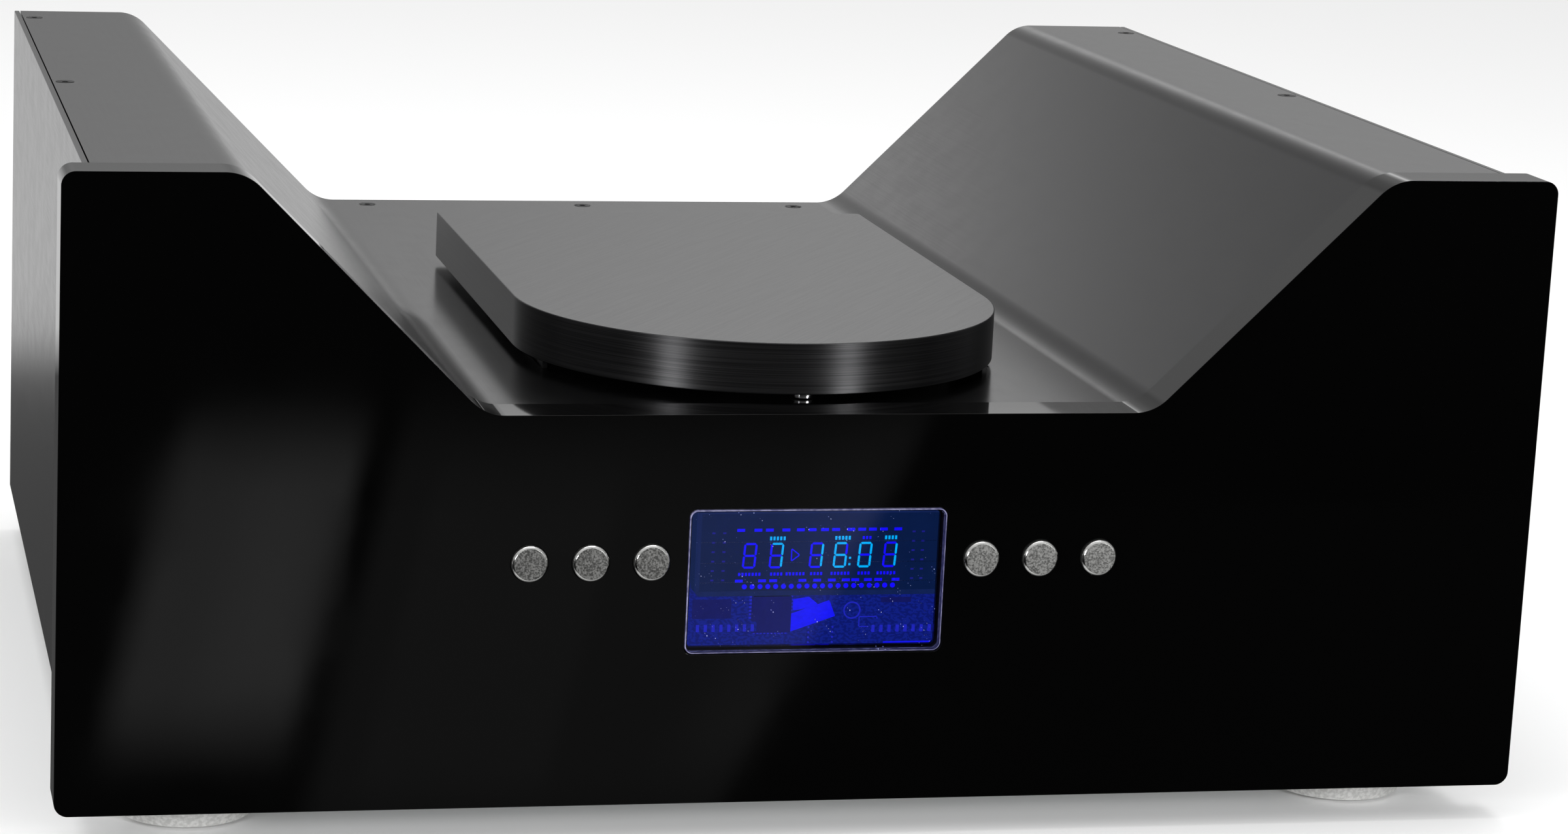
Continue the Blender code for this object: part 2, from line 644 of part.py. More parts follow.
def front_panel():
    """Thick panel with the valley's outline, the button holes and the window, pocketed from behind."""
    corners = valley_corners(PANEL_WIDTH / 2)
    corners += [Vector((PANEL_WIDTH / 2, PANEL_BOTTOM_Z)), Vector((-PANEL_WIDTH / 2, PANEL_BOTTOM_Z))]
    radii = valley_radii(PANEL_CORNER_RADIUS) + (PANEL_CORNER_RADIUS, PANEL_CORNER_RADIUS)
    panel = plate("front_panel", rounded(corners, radii), (0, PANEL_THICKNESS), PANEL_CHAMFER)
    recess = rounded_rectangle(0, WINDOW_Z, WINDOW_WIDTH, WINDOW_HEIGHT, WINDOW_CORNER_RADIUS)
    view_radius = WINDOW_CORNER_RADIUS - WINDOW_LEDGE
    view_size = (WINDOW_WIDTH - 2 * WINDOW_LEDGE, WINDOW_HEIGHT - 2 * WINDOW_LEDGE)
    view = rounded_rectangle(0, WINDOW_Z, *view_size, view_radius)
    cut(panel, plate("pane_recess_cutter", recess, (-OVERRUN, PANE_THICKNESS + JOINT_GAP)))
    cut(panel, plate("window_cutter", view, (-OVERRUN, PANEL_THICKNESS + OVERRUN)))
    pocket_size = (WINDOW_WIDTH + 2 * WINDOW_POCKET_MARGIN, WINDOW_HEIGHT + 2 * WINDOW_POCKET_MARGIN)
    pocket = rounded_rectangle(0, WINDOW_Z, *pocket_size, WINDOW_CORNER_RADIUS)
    pocket_deep = (PANE_THICKNESS + JOINT_GAP + WINDOW_LEDGE_THICKNESS, PANEL_THICKNESS + OVERRUN)
    cut(panel, plate("window_pocket_cutter", pocket, pocket_deep))
    hole = BUTTON_RADIUS + JOINT_GAP
    flange_hole = BUTTON_FLANGE_RADIUS + JOINT_GAP
    profile = [
        (0, -OVERRUN),
        (hole, -OVERRUN),
        (hole, BUTTON_POCKET_START),
        (flange_hole, BUTTON_POCKET_START),
        (flange_hole, PANEL_THICKNESS + OVERRUN),
        (0, PANEL_THICKNESS + OVERRUN),
    ]
    for x in button_places():
        cut(panel, turned("button_hole_cutter", profile, (x, FRONT_Y, BUTTON_Z), (0, 1, 0)))
    dress(panel, "acrylic_black")


def display_window():
    """Pane that lies flush in the front panel, against the window's ledge."""
    width = WINDOW_WIDTH - 2 * JOINT_GAP
    height = WINDOW_HEIGHT - 2 * JOINT_GAP
    outline = rounded_rectangle(0, WINDOW_Z, width, height, WINDOW_CORNER_RADIUS - JOINT_GAP)
    dress(plate("display_window", outline, (0, PANE_THICKNESS), PANE_CHAMFER), "pane_blue")


def push_buttons():
    """Round buttons, each with a flange behind the panel and a stem that reaches its switch."""
    flange_start = BUTTON_POCKET_START + JOINT_GAP
    flange_end = flange_start + BUTTON_FLANGE_THICKNESS
    stem_end = PLUNGER_FRONT - BUTTON_TRAVEL - SWITCH_CLEARANCE
    profile = [
        (0, -BUTTON_PROUD),
        (BUTTON_RADIUS - BUTTON_CHAMFER, -BUTTON_PROUD),
        (BUTTON_RADIUS, -BUTTON_PROUD + BUTTON_CHAMFER),
        (BUTTON_RADIUS, flange_start),
        (BUTTON_FLANGE_RADIUS, flange_start),
        (BUTTON_FLANGE_RADIUS, flange_end),
        (BUTTON_STEM_RADIUS, flange_end),
        (BUTTON_STEM_RADIUS, stem_end),
        (0, stem_end),
    ]
    for number, x in enumerate(button_places(), start=1):
        button = turned(f"button_{number}", profile, (x, FRONT_Y, BUTTON_Z), (0, 1, 0))
        dress(button, "satin_silver", smooth=True)


def front_subpanel():
    """Sheet behind the front panel that closes the casing and carries the control board."""
    panel = plate("front_subpanel", inner_outline(), (BODY_START, SUBPANEL_BACK))
    deep = (BODY_START - OVERRUN, SUBPANEL_BACK + OVERRUN)
    half_width = WINDOW_WIDTH / 2 + SUBPANEL_WINDOW_MARGIN
    half_height = WINDOW_HEIGHT / 2 + SUBPANEL_WINDOW_MARGIN
    high = (WINDOW_Z - half_height, WINDOW_Z + half_height)
    cut(panel, block("subpanel_window_cutter", (-half_width, half_width), deep, high))
    for x in button_places():
        start = (x, FRONT_Y + deep[0], BUTTON_Z)
        radius = BUTTON_STEM_RADIUS + STEM_HOLE_CLEARANCE
        cut(panel, rod("stem_hole_cutter", start, (0, 1, 0), deep[1] - deep[0], radius))
    dress(panel, "blackened_steel")


def screw_hole(x, depth, z):
    """The space of one cover screw, with clearance all round it."""
    shank = SCREW_RADIUS + JOINT_GAP
    head = SCREW_HEAD_RADIUS + JOINT_GAP
    bottom = -SCREW_LENGTH - JOINT_GAP
    profile = [
        (0, bottom),
        (shank, bottom),
        (shank, -SCREW_HEAD_DEPTH),
        (head, 0),
        (head, OVERRUN),
        (0, OVERRUN),
    ]
    return turned("screw_hole_cutter", profile, (x, FRONT_Y + depth, z), segments=SMALL_SEGMENTS)


def top_cover():
    """Bent sheet over the player, open for the disc and for the blades of the lid's carriers."""
    under = COVER_DROP + COVER_THICKNESS
    top = rounded(valley_corners(INNER_HALF, COVER_DROP), valley_radii(0, COVER_DROP))
    bottom = rounded(valley_corners(INNER_HALF, under), valley_radii(0, under))
    cover = plate("top_cover", top + bottom[::-1], (BODY_START, OVERALL_DEPTH))
    high = (FLOOR_UNDER_Z - OVERRUN, FLOOR_Z + OVERRUN)
    hole_place = (0, FRONT_Y + SPINDLE_DEPTH, high[0])
    height = high[1] - high[0]
    cut(cover, rod("disc_hole_cutter", hole_place, (0, 0, 1), height, WELL_RADIUS, WELL_SEGMENTS))
    slot = (BLADE_FRONT - SLIDE_CLEARANCE, BLADE_REAR + LID_TRAVEL + SLIDE_CLEARANCE)
    for side in (-1, 1):
        inner = side * (BLADE_INNER_X - SLIDE_CLEARANCE)
        outer = side * (BLADE_OUTER_X + SLIDE_CLEARANCE)
        cut(cover, block("carrier_slot_cutter", (inner, outer), slot, high))
    for place in cover_screw_places():
        cut(cover, screw_hole(*place))
    dress(cover, "anodised_grey", smooth=True)


def side_panels():
    """Flat panel on each side, flush with the cover."""
    for name, side in SIDES:
        across = (side * (BODY_HALF - SIDE_THICKNESS), side * BODY_HALF)
        high = (BODY_BOTTOM_Z, COVER_TOP_Z)
        dress(block(f"{name}_side_panel", across, (BODY_START, OVERALL_DEPTH), high), "anodised_grey")


def base_plate():
    """Flat plate that everything inside stands on."""
    high = (BODY_BOTTOM_Z, BASE_TOP_Z)
    plate_block = block("base_plate", (-INNER_HALF, INNER_HALF), (BODY_START, OVERALL_DEPTH), high)
    dress(plate_block, "zinc_steel")


def rear_panel():
    """Sheet inside the rear edge of the casing, with openings for the inlet and the jacks."""
    panel = plate("rear_panel", inner_outline(), (REAR_INNER, REAR_FACE))
    deep = (REAR_INNER - OVERRUN, REAR_FACE + OVERRUN)
    half_width = INLET_HALF_WIDTH + JOINT_GAP
    half_height = INLET_HALF_HEIGHT + JOINT_GAP
    high = (CONNECTOR_Z - half_height, CONNECTOR_Z + half_height)
    across = (INLET_X - half_width, INLET_X + half_width)
    cut(panel, block("inlet_opening_cutter", across, deep, high))
    for x in jack_places().values():
        start = (x, FRONT_Y + deep[0], CONNECTOR_Z)
        radius = JACK_TAIL_RADIUS + JOINT_GAP
        cut(panel, rod("jack_hole_cutter", start, (0, 1, 0), deep[1] - deep[0], radius))
    dress(panel, "blackened_steel")


def frame_bars():
    """Bar under each plateau and one across the rear, which take the cover's screws."""
    deep = (SUBPANEL_BACK + JOINT_GAP, FRAME_END)
    high = (FRAME_TOP_Z - FRAME_BAR, FRAME_TOP_Z)
    bars = {}
    for name, side in SIDES:
        across = (side * (INNER_HALF - FRAME_BAR), side * INNER_HALF)
        bars[side] = block(f"{name}_frame_rail", across, deep, high)
    half = VALLEY_FLOOR_HALF - CROSSBAR_INSET
    high = (SEAT_TOP_Z - FRAME_BAR, SEAT_TOP_Z)
    bars[0] = block("rear_crossbar", (-half, half), (FRAME_END - FRAME_BAR, FRAME_END), high)
    for x, depth, z in cover_screw_places():
        side = 0 if z == FLOOR_Z else math.copysign(1, x)
        cut(bars[side], screw_hole(x, depth, z))
    for bar in bars.values():
        dress(bar, "zinc_steel")


def cover_screws():
    """Countersunk screws that lie flush in the cover."""
    profile = [
        (0, -SCREW_LENGTH),
        (SCREW_RADIUS, -SCREW_LENGTH),
        (SCREW_RADIUS, -SCREW_HEAD_DEPTH),
        (SCREW_HEAD_RADIUS, 0),
        (0, 0),
    ]
    for number, (x, depth, z) in enumerate(cover_screw_places(), start=1):
        place = (x, FRONT_Y + depth, z)
        screw = turned(f"cover_screw_{number}", profile, place, segments=SMALL_SEGMENTS)
        start = (x, FRONT_Y + depth, z - SCREW_SOCKET_DEPTH)
        height = SCREW_SOCKET_DEPTH + OVERRUN
        cut(screw, rod("socket_cutter", start, (0, 0, 1), height, SCREW_SOCKET_RADIUS, HEX_SEGMENTS))
        dress(screw, "blackened_steel", smooth=True)


def feet():
    """Round foot near each corner, with a tread that is a little smaller than its body."""
    top = BODY_BOTTOM_Z - JOINT_GAP
    profile = [
        (0, 0),
        (FOOT_TREAD_RADIUS, 0),
        (FOOT_RADIUS, FOOT_CHAMFER_HEIGHT),
        (FOOT_RADIUS, top),
        (0, top),
    ]
    depths = {
        "front": PANEL_THICKNESS + FOOT_PANEL_GAP + FOOT_RADIUS,
        "rear": OVERALL_DEPTH - FOOT_REAR_INSET - FOOT_RADIUS,
    }
    for end, depth in depths.items():
        for name, side in SIDES:
            x = side * (BODY_HALF - FOOT_SIDE_INSET - FOOT_RADIUS)
            foot = turned(f"{end}_{name}_foot", profile, (x, FRONT_Y + depth, 0), segments=FOOT_SEGMENTS)
            dress(foot, "satin_silver", smooth=True)


def lid():
    """Thick lid with a round nose that is centred on the disc, and blind slots underneath."""
    rear = LID_FRONT + LID_LENGTH
    corners = [
        Vector((LID_HALF, SPINDLE_DEPTH)),
        Vector((LID_HALF, rear)),
        Vector((-LID_HALF, rear)),
        Vector((-LID_HALF, SPINDLE_DEPTH)),
    ]
    outline = rounded(corners, (0, LID_REAR_RADIUS, LID_REAR_RADIUS, 0))
    outline += arc_points(Vector((0, SPINDLE_DEPTH)), LID_HALF, math.pi, math.pi, FINE_STEP)[1:-1]
    piece = slab("lid", outline, (LID_BOTTOM_Z, LID_BOTTOM_Z + LID_THICKNESS), LID_CHAMFER)
    slot_deep = (BLADE_FRONT - JOINT_GAP, BLADE_REAR + JOINT_GAP)
    slot_high = (LID_BOTTOM_Z - OVERRUN, LID_BOTTOM_Z + BLADE_LID_DEPTH + JOINT_GAP)
    for side in (-1, 1):
        across = (side * (BLADE_INNER_X - JOINT_GAP), side * (BLADE_OUTER_X + JOINT_GAP))
        cut(piece, block("blade_slot_cutter", across, slot_deep, slot_high))
    start = (0, FRONT_Y + LID_FRONT + BUMPER_FRONT_INSET, LID_BOTTOM_Z - OVERRUN)
    height = OVERRUN + BUMPER_STEM_LENGTH + JOINT_GAP
    cut(piece, rod("stem_hole_cutter", start, (0, 0, 1), height, BUMPER_STEM_RADIUS + JOINT_GAP))
    return dress(piece, "brushed_grey", smooth=True)


def lid_bumper():
    """Small round bumper under the lid's nose, with a stem that goes up into the lid."""
    height = LID_FLOOR_GAP - 2 * JOINT_GAP
    stem_top = LID_FLOOR_GAP - JOINT_GAP + BUMPER_STEM_LENGTH
    profile = [
        (0, 0),
        (BUMPER_RADIUS, 0),
        (BUMPER_RADIUS, height),
        (BUMPER_STEM_RADIUS, height),
        (BUMPER_STEM_RADIUS, stem_top),
        (0, stem_top),
    ]
    place = (0, FRONT_Y + LID_FRONT + BUMPER_FRONT_INSET, FLOOR_Z + JOINT_GAP)
    bumper = turned("lid_bumper", profile, place, segments=SMALL_SEGMENTS)
    return dress(bumper, "satin_silver", smooth=True)


def lid_carrier(name, side):
    """Carrier that wraps the foot of its rail, with a blade that reaches up into the lid."""
    deep = (BLADE_FRONT, BLADE_REAR)
    through = (BLADE_FRONT - OVERRUN, BLADE_REAR + OVERRUN)
    foot_low = RAIL_BOTTOM_Z - SLIDE_CLEARANCE
    foot_top = RAIL_BOTTOM_Z + RAIL_FOOT_THICKNESS + SLIDE_CLEARANCE
    outer = RAIL_OUTER_X + SLIDE_CLEARANCE + CARRIER_WALL
    high = (foot_low - CARRIER_WALL, FLOOR_UNDER_Z - CARRIER_COVER_GAP)
    carrier = block(f"{name}_lid_carrier", (side * BLADE_INNER_X, side * outer), deep, high)
    across = (side * (RAIL_INNER_X - SLIDE_CLEARANCE), side * (RAIL_OUTER_X + SLIDE_CLEARANCE))
    cut(carrier, block("rail_foot_cutter", across, through, (foot_low, foot_top)))
    half = RAIL_STEM_WIDTH / 2 + SLIDE_CLEARANCE
    across = (side * (RAIL_MIDDLE_X - half), side * (RAIL_MIDDLE_X + half))
    cut(carrier, block("rail_stem_cutter", across, through, (foot_top - OVERRUN, FLOOR_UNDER_Z)))
    blade = (side * BLADE_INNER_X, side * BLADE_OUTER_X)
    join(carrier, block("blade_tool", blade, deep, (foot_low, LID_BOTTOM_Z + BLADE_LID_DEPTH)))
    return dress(carrier, "black_plastic")


def lid_rails():
    """Rail of upside-down T section on each side, fixed under the cover."""
    deep = (BLADE_FRONT - RAIL_OVERHANG, BLADE_REAR + LID_TRAVEL + RAIL_OVERHANG)
    half = RAIL_STEM_WIDTH / 2
    for name, side in SIDES:
        foot = (side * RAIL_INNER_X, side * RAIL_OUTER_X)
        stem = (side * (RAIL_MIDDLE_X - half), side * (RAIL_MIDDLE_X + half))
        rail = block(f"{name}_lid_rail", foot, deep, (RAIL_BOTTOM_Z, RAIL_BOTTOM_Z + RAIL_FOOT_THICKNESS))
        join(rail, block("rail_stem_tool", stem, deep, (RAIL_BOTTOM_Z + OVERRUN, SEAT_TOP_Z)))
        dress(rail, "polished_steel")


def sliding_lid():
    """The lid with all that slides with it."""
    pieces = [lid(), lid_bumper()] + [lid_carrier(name, side) for name, side in SIDES]
    carry("lid_slide", (0, FRONT_Y + SPINDLE_DEPTH, LID_BOTTOM_Z), *pieces)


def disc_well():
    """Round dish under the cover, open in the middle for the hub and rearwards for the pickup."""
    wall = WELL_RADIUS + WELL_WALL
    hub_hole = HUB_RADIUS + WELL_HUB_CLEARANCE
    flange_low = SEAT_TOP_Z - WELL_FLANGE_THICKNESS
    profile = [
        (hub_hole, WELL_UNDER_Z),
        (wall, WELL_UNDER_Z),
        (wall, flange_low),
        (WELL_FLANGE_RADIUS, flange_low),
        (WELL_FLANGE_RADIUS, SEAT_TOP_Z),
        (WELL_RADIUS, SEAT_TOP_Z),
        (WELL_RADIUS, WELL_BOTTOM_Z),
        (hub_hole, WELL_BOTTOM_Z),
    ]
    well = turned("disc_well", profile, (0, FRONT_Y + SPINDLE_DEPTH, 0), segments=WELL_SEGMENTS)
    across = (-PICKUP_SLOT_HALF, PICKUP_SLOT_HALF)
    high = (WELL_UNDER_Z - OVERRUN, WELL_BOTTOM_Z + PICKUP_SLOT_RISE)
    cut(well, block("pickup_slot_cutter", across, behind_spindle(0, wall + OVERRUN), high))
    dress(well, "black_plastic", smooth=True)


def transport_chassis():
    """Plate of the transport, with the holders of the guide rods and the lead screw's bearing."""
    across = (-CHASSIS_HALF_WIDTH, CHASSIS_HALF_WIDTH)
    deep = behind_spindle(-CHASSIS_FRONT_REACH, CHASSIS_REAR_REACH)
    chassis = block("transport_chassis", across, deep, (CHASSIS_TOP_Z - CHASSIS_THICKNESS, CHASSIS_TOP_Z))
    holders = [(x, start) for x in ROD_PLACES for start in (FRONT_HOLDER, REAR_HOLDER)]
    holders.append((LEAD_SCREW_OFFSET, FRONT_HOLDER))
    high = (CHASSIS_TOP_Z - CHASSIS_THICKNESS / 2, ROD_Z + ROD_HOLDER_HALF)
    for x, start in holders:
        across = (x - ROD_HOLDER_HALF, x + ROD_HOLDER_HALF)
        deep = behind_spindle(start, start + ROD_HOLDER_LENGTH)
        join(chassis, block("rod_holder_tool", across, deep, high))
        cut(chassis, rod_hole(x, start, start + ROD_HOLDER_LENGTH, ROD_RADIUS))
    dress(chassis, "zinc_steel")


def rod_hole(x, start, end, radius):
    """The space of a rod or screw along Y at the rods' height, with clearance round it."""
    place = (x, FRONT_Y + SPINDLE_DEPTH + start - OVERRUN, ROD_Z)
    return rod("rod_hole_cutter", place, (0, 1, 0), end - start + 2 * OVERRUN, radius + JOINT_GAP)


def isolators():
    """Waisted rubber pillars between the chassis and the disc well."""
    waist = ISOLATOR_WAIST_SHARE * ISOLATOR_RADIUS
    profile = [
        (0, 0),
        (ISOLATOR_RADIUS, 0),
        (waist, ISOLATOR_HEIGHT / 3),
        (waist, 2 * ISOLATOR_HEIGHT / 3),
        (ISOLATOR_RADIUS, ISOLATOR_HEIGHT),
        (0, ISOLATOR_HEIGHT),
    ]
    for end, back in (("front", -ISOLATOR_OFFSET), ("rear", ISOLATOR_OFFSET)):
        for name, side in SIDES:
            place = (side * ISOLATOR_OFFSET, FRONT_Y + SPINDLE_DEPTH + back, CHASSIS_TOP_Z + JOINT_GAP)
            pillar = turned(f"{end}_{name}_isolator", profile, place, segments=SMALL_SEGMENTS)
            dress(pillar, "black_rubber", smooth=True)


def spindle_motor():
    """Flat motor on the chassis, with a bore from above for the spindle."""
    bore = SPINDLE_RADIUS + JOINT_GAP
    bore_bottom = MOTOR_HEIGHT - MOTOR_BORE_DEPTH
    profile = [
        (0, 0),
        (MOTOR_RADIUS, 0),
        (MOTOR_RADIUS, MOTOR_HEIGHT),
        (bore, MOTOR_HEIGHT),
        (bore, bore_bottom),
        (0, bore_bottom),
    ]
    place = (0, FRONT_Y + SPINDLE_DEPTH, CHASSIS_TOP_Z + JOINT_GAP)
    dress(turned("spindle_motor", profile, place), "zinc_steel", smooth=True)


def spindle_hub():
    """Turntable that centres the disc, in one piece with its collar and its spindle."""
    motor_top = CHASSIS_TOP_Z + JOINT_GAP + MOTOR_HEIGHT
    shaft_bottom = motor_top - MOTOR_BORE_DEPTH + JOINT_GAP
    boss_top = HUB_TOP_Z + BOSS_HEIGHT
    profile = [
        (0, shaft_bottom - HUB_Z),
        (SPINDLE_RADIUS, shaft_bottom - HUB_Z),
        (SPINDLE_RADIUS, motor_top + JOINT_GAP - HUB_Z),
        (HUB_COLLAR_RADIUS, motor_top + JOINT_GAP - HUB_Z),
        (HUB_COLLAR_RADIUS, 0),
        (HUB_RADIUS, 0),
        (HUB_RADIUS, HUB_THICKNESS),
        (BOSS_RADIUS, HUB_THICKNESS),
        (BOSS_RADIUS, boss_top - BOSS_CHAMFER - HUB_Z),
        (BOSS_RADIUS - BOSS_CHAMFER, boss_top - HUB_Z),
        (0, boss_top - HUB_Z),
    ]
    hub = turned("spindle_hub", profile, (0, FRONT_Y + SPINDLE_DEPTH, HUB_Z))
    return dress(hub, "black_plastic", smooth=True)


def disc_clamp():
    """Loose puck that rests on the hub and presses the disc down, with a knob to lift it by."""
    recess = BOSS_RADIUS + JOINT_GAP
    recess_top = BOSS_HEIGHT
    neck_top = CLAMP_HEIGHT + CLAMP_NECK_HEIGHT
    profile = [
        (0, recess_top),
        (recess, recess_top),
        (recess, 0),
        (CLAMP_RADIUS, 0),
        (CLAMP_RADIUS, CLAMP_HEIGHT),
        (CLAMP_NECK_RADIUS, CLAMP_HEIGHT),
        (CLAMP_NECK_RADIUS, neck_top),
        (CLAMP_KNOB_RADIUS, neck_top),
        (CLAMP_KNOB_RADIUS, neck_top + CLAMP_KNOB_HEIGHT),
        (0, neck_top + CLAMP_KNOB_HEIGHT),
    ]
    clamp = turned("disc_clamp", profile, (0, FRONT_Y + SPINDLE_DEPTH, HUB_TOP_Z + JOINT_GAP))
    return dress(clamp, "satin_silver", smooth=True)


def pickup_sled():
    """Block that slides on the guide rods, with the tower that carries the lens."""
    sides = (-(ROD_OFFSET + SLED_EDGE), LEAD_SCREW_OFFSET + SLED_EDGE)
    start = LENS_FIRST_RADIUS - SLED_LENGTH / 2
    end = LENS_FIRST_RADIUS + SLED_LENGTH / 2
    sled = block("pickup_sled", sides, behind_spindle(start, end), (ROD_Z - SLED_HEIGHT / 2, SLED_TOP_Z))
    tower = behind_spindle(LENS_FIRST_RADIUS - TOWER_HALF, LENS_FIRST_RADIUS + TOWER_HALF)
    high = (ROD_Z, SLED_TOP_Z + TOWER_HEIGHT)
    join(sled, block("tower_tool", (-TOWER_HALF, TOWER_HALF), tower, high))
    for x in ROD_PLACES:
        cut(sled, rod_hole(x, start, end, ROD_RADIUS))
    cut(sled, rod_hole(LEAD_SCREW_OFFSET, start, end, LEAD_SCREW_RADIUS))
    return dress(sled, "black_plastic")


def pickup_lens():
    """Small domed lens on the sled's tower."""
    profile = [
        (0, 0),
        (LENS_RADIUS, 0),
        (LENS_RADIUS, LENS_HEIGHT / 3),
        (LENS_RADIUS / 2, LENS_HEIGHT * LENS_SHOULDER_SHARE),
        (0, LENS_HEIGHT),
    ]
    place = (0, FRONT_Y + SPINDLE_DEPTH + LENS_FIRST_RADIUS, SLED_TOP_Z + TOWER_HEIGHT + JOINT_GAP)
    lens = turned("pickup_lens", profile, place, segments=SMALL_SEGMENTS)
    return dress(lens, "lens_glass", smooth=True)


def guide_rods():
    """Rods that the sled slides on."""
    for (name, _), x in zip(SIDES, ROD_PLACES):
        start = (x, FRONT_Y + SPINDLE_DEPTH + FRONT_HOLDER, ROD_Z)
        guide = rod(f"{name}_guide_rod", start, (0, 1, 0), REAR_HOLDER_END - FRONT_HOLDER, ROD_RADIUS)
        dress(guide, "polished_steel", smooth=True)


def lead_screw():
    """Screw that drives the sled, from its bearing into the bore of its motor."""
    length = SLED_MOTOR_START + SLED_MOTOR_BORE_DEPTH - JOINT_GAP - FRONT_HOLDER
    start = (LEAD_SCREW_OFFSET, FRONT_Y + SPINDLE_DEPTH + FRONT_HOLDER, ROD_Z)
    screw = rod("lead_screw", start, (0, 1, 0), length, LEAD_SCREW_RADIUS)
    return dress(screw, "polished_steel", smooth=True)


def sled_motor():
    """Motor that lies on the chassis and turns the lead screw."""
    bore = LEAD_SCREW_RADIUS + JOINT_GAP
    radius = ROD_Z - CHASSIS_TOP_Z - JOINT_GAP
    profile = [
        (0, SLED_MOTOR_BORE_DEPTH),
        (bore, SLED_MOTOR_BORE_DEPTH),
        (bore, 0),
        (radius, 0),
        (radius, SLED_MOTOR_LENGTH),
        (0, SLED_MOTOR_LENGTH),
    ]
    place = (LEAD_SCREW_OFFSET, FRONT_Y + SPINDLE_DEPTH + SLED_MOTOR_START, ROD_Z)
    dress(turned("sled_motor", profile, place, (0, 1, 0)), "zinc_steel", smooth=True)


def transport():
    """The disc transport: what stands still, what spins and what moves the pickup."""
    disc_well()
    transport_chassis()
    isolators()
    spindle_motor()
    guide_rods()
    sled_motor()
    carry("spindle_axis", (0, FRONT_Y + SPINDLE_DEPTH, HUB_Z), spindle_hub(), disc_clamp())
    sled_place = (0, FRONT_Y + SPINDLE_DEPTH + LENS_FIRST_RADIUS, ROD_Z)
    carry("sled_slide", sled_place, pickup_sled(), pickup_lens())
    lead_screw()


def control_board():
    """Upright board with a switch behind each button, the display's driver and its standoffs."""
    top = TUBE_Z + TUBE_HEIGHT / 2 + CONTROL_BOARD_TOP_MARGIN
    bottom = top - CONTROL_BOARD_HEIGHT
    half = LAST_BUTTON_X + CONTROL_BOARD_SIDE_MARGIN
    middle = BOARD_FRONT + BOARD_THICKNESS / 2
    deep = (BOARD_FRONT, BOARD_FRONT + BOARD_THICKNESS)
    board = block("control_board", (-half, half), deep, (bottom, top))
    switch_high = (BUTTON_Z - SWITCH_HALF, BUTTON_Z + SWITCH_HALF)
    for x in button_places():
        across = (x - SWITCH_HALF, x + SWITCH_HALF)
        join(board, block("switch_tool", across, (BOARD_FRONT - SWITCH_BODY_DEPTH, middle), switch_high))
        start = (x, FRONT_Y + PLUNGER_FRONT, BUTTON_Z)
        length = SWITCH_PLUNGER_REACH + SWITCH_BODY_DEPTH / 2
        join(board, rod("plunger_tool", start, (0, 1, 0), length, SWITCH_PLUNGER_RADIUS))
    post_front = SUBPANEL_BACK + JOINT_GAP
    for x in (BOARD_POST_INSET - half, half - BOARD_POST_INSET):
        for z in (bottom + BOARD_POST_INSET, top - BOARD_POST_INSET):
            start = (x, FRONT_Y + post_front, z)
            join(board, rod("standoff_tool", start, (0, 1, 0), middle - post_front, BOARD_POST_RADIUS))
    tube_low = TUBE_Z - TUBE_HEIGHT / 2
    x = TUBE_SHIFT + DRIVER_CHIP_SHARE * TUBE_WIDTH
    across = (x - DRIVER_CHIP_HALF, x + DRIVER_CHIP_HALF)
    chip_top = tube_low - DRIVER_CHIP_TUBE_GAP
    high = (chip_top - 2 * DRIVER_CHIP_HALF, chip_top)
    join(board, block("driver_chip_tool", across, (BOARD_FRONT - DRIVER_CHIP_THICKNESS, middle), high))
    header_top = tube_low - HEADER_TUBE_GAP
    high = (header_top - HEADER_HEIGHT, header_top)
    for side in (-1, 1):
        x = TUBE_SHIFT + side * HEADER_SHARE * TUBE_WIDTH
        across = (x - HEADER_HALF_WIDTH, x + HEADER_HALF_WIDTH)
        join(board, block("header_tool", across, (BOARD_FRONT - HEADER_THICKNESS, middle), high))
    dress(board, "circuit_board")


def display_tube():
    """Glass display tube in front of the control board, off centre because its digits are."""
    outline = rounded_rectangle(TUBE_SHIFT, TUBE_Z, TUBE_WIDTH, TUBE_HEIGHT, TUBE_CORNER_RADIUS)
    deep = (TUBE_FRONT, TUBE_FRONT + TUBE_THICKNESS)
    dress(plate("display_tube", outline, deep, TUBE_CHAMFER), "tube_glass")


def main_board_place(across_share, deep_share):
    """A place on the main board, in shares of its width and depth from its centre."""
    x = MAIN_BOARD_RIGHT_X - MAIN_BOARD_WIDTH / 2 + across_share * MAIN_BOARD_WIDTH
    depth = REAR_INNER - MAIN_BOARD_REAR_GAP - MAIN_BOARD_DEPTH / 2 + deep_share * MAIN_BOARD_DEPTH
    return x, depth


def main_board():
    """Level board on four posts, with its chips and the regulators' heat sink."""
    left, front = main_board_place(-0.5, -0.5)
    right, rear = main_board_place(0.5, 0.5)
    middle = MAIN_BOARD_TOP_Z - BOARD_THICKNESS / 2
    high = (MAIN_BOARD_TOP_Z - BOARD_THICKNESS, MAIN_BOARD_TOP_Z)
    board = block("main_board", (left, right), (front, rear), high)
    post_bottom = BASE_TOP_Z + JOINT_GAP
    for x in (left + MAIN_POST_INSET, right - MAIN_POST_INSET):
        for depth in (front + MAIN_POST_INSET, rear - MAIN_POST_INSET):
            start = (x, FRONT_Y + depth, post_bottom)
            join(board, rod("post_tool", start, (0, 0, 1), middle - post_bottom, MAIN_POST_RADIUS))
    for shares in CHIP_PLACE_SHARES:
        x, depth = main_board_place(*shares)
        across = (x - CHIP_HALF, x + CHIP_HALF)
        deep = (depth - CHIP_HALF, depth + CHIP_HALF)
        join(board, block("chip_tool", across, deep, (middle, MAIN_BOARD_TOP_Z + CHIP_THICKNESS)))
    add_heat_sink(board, middle)
    dress(board, "circuit_board")


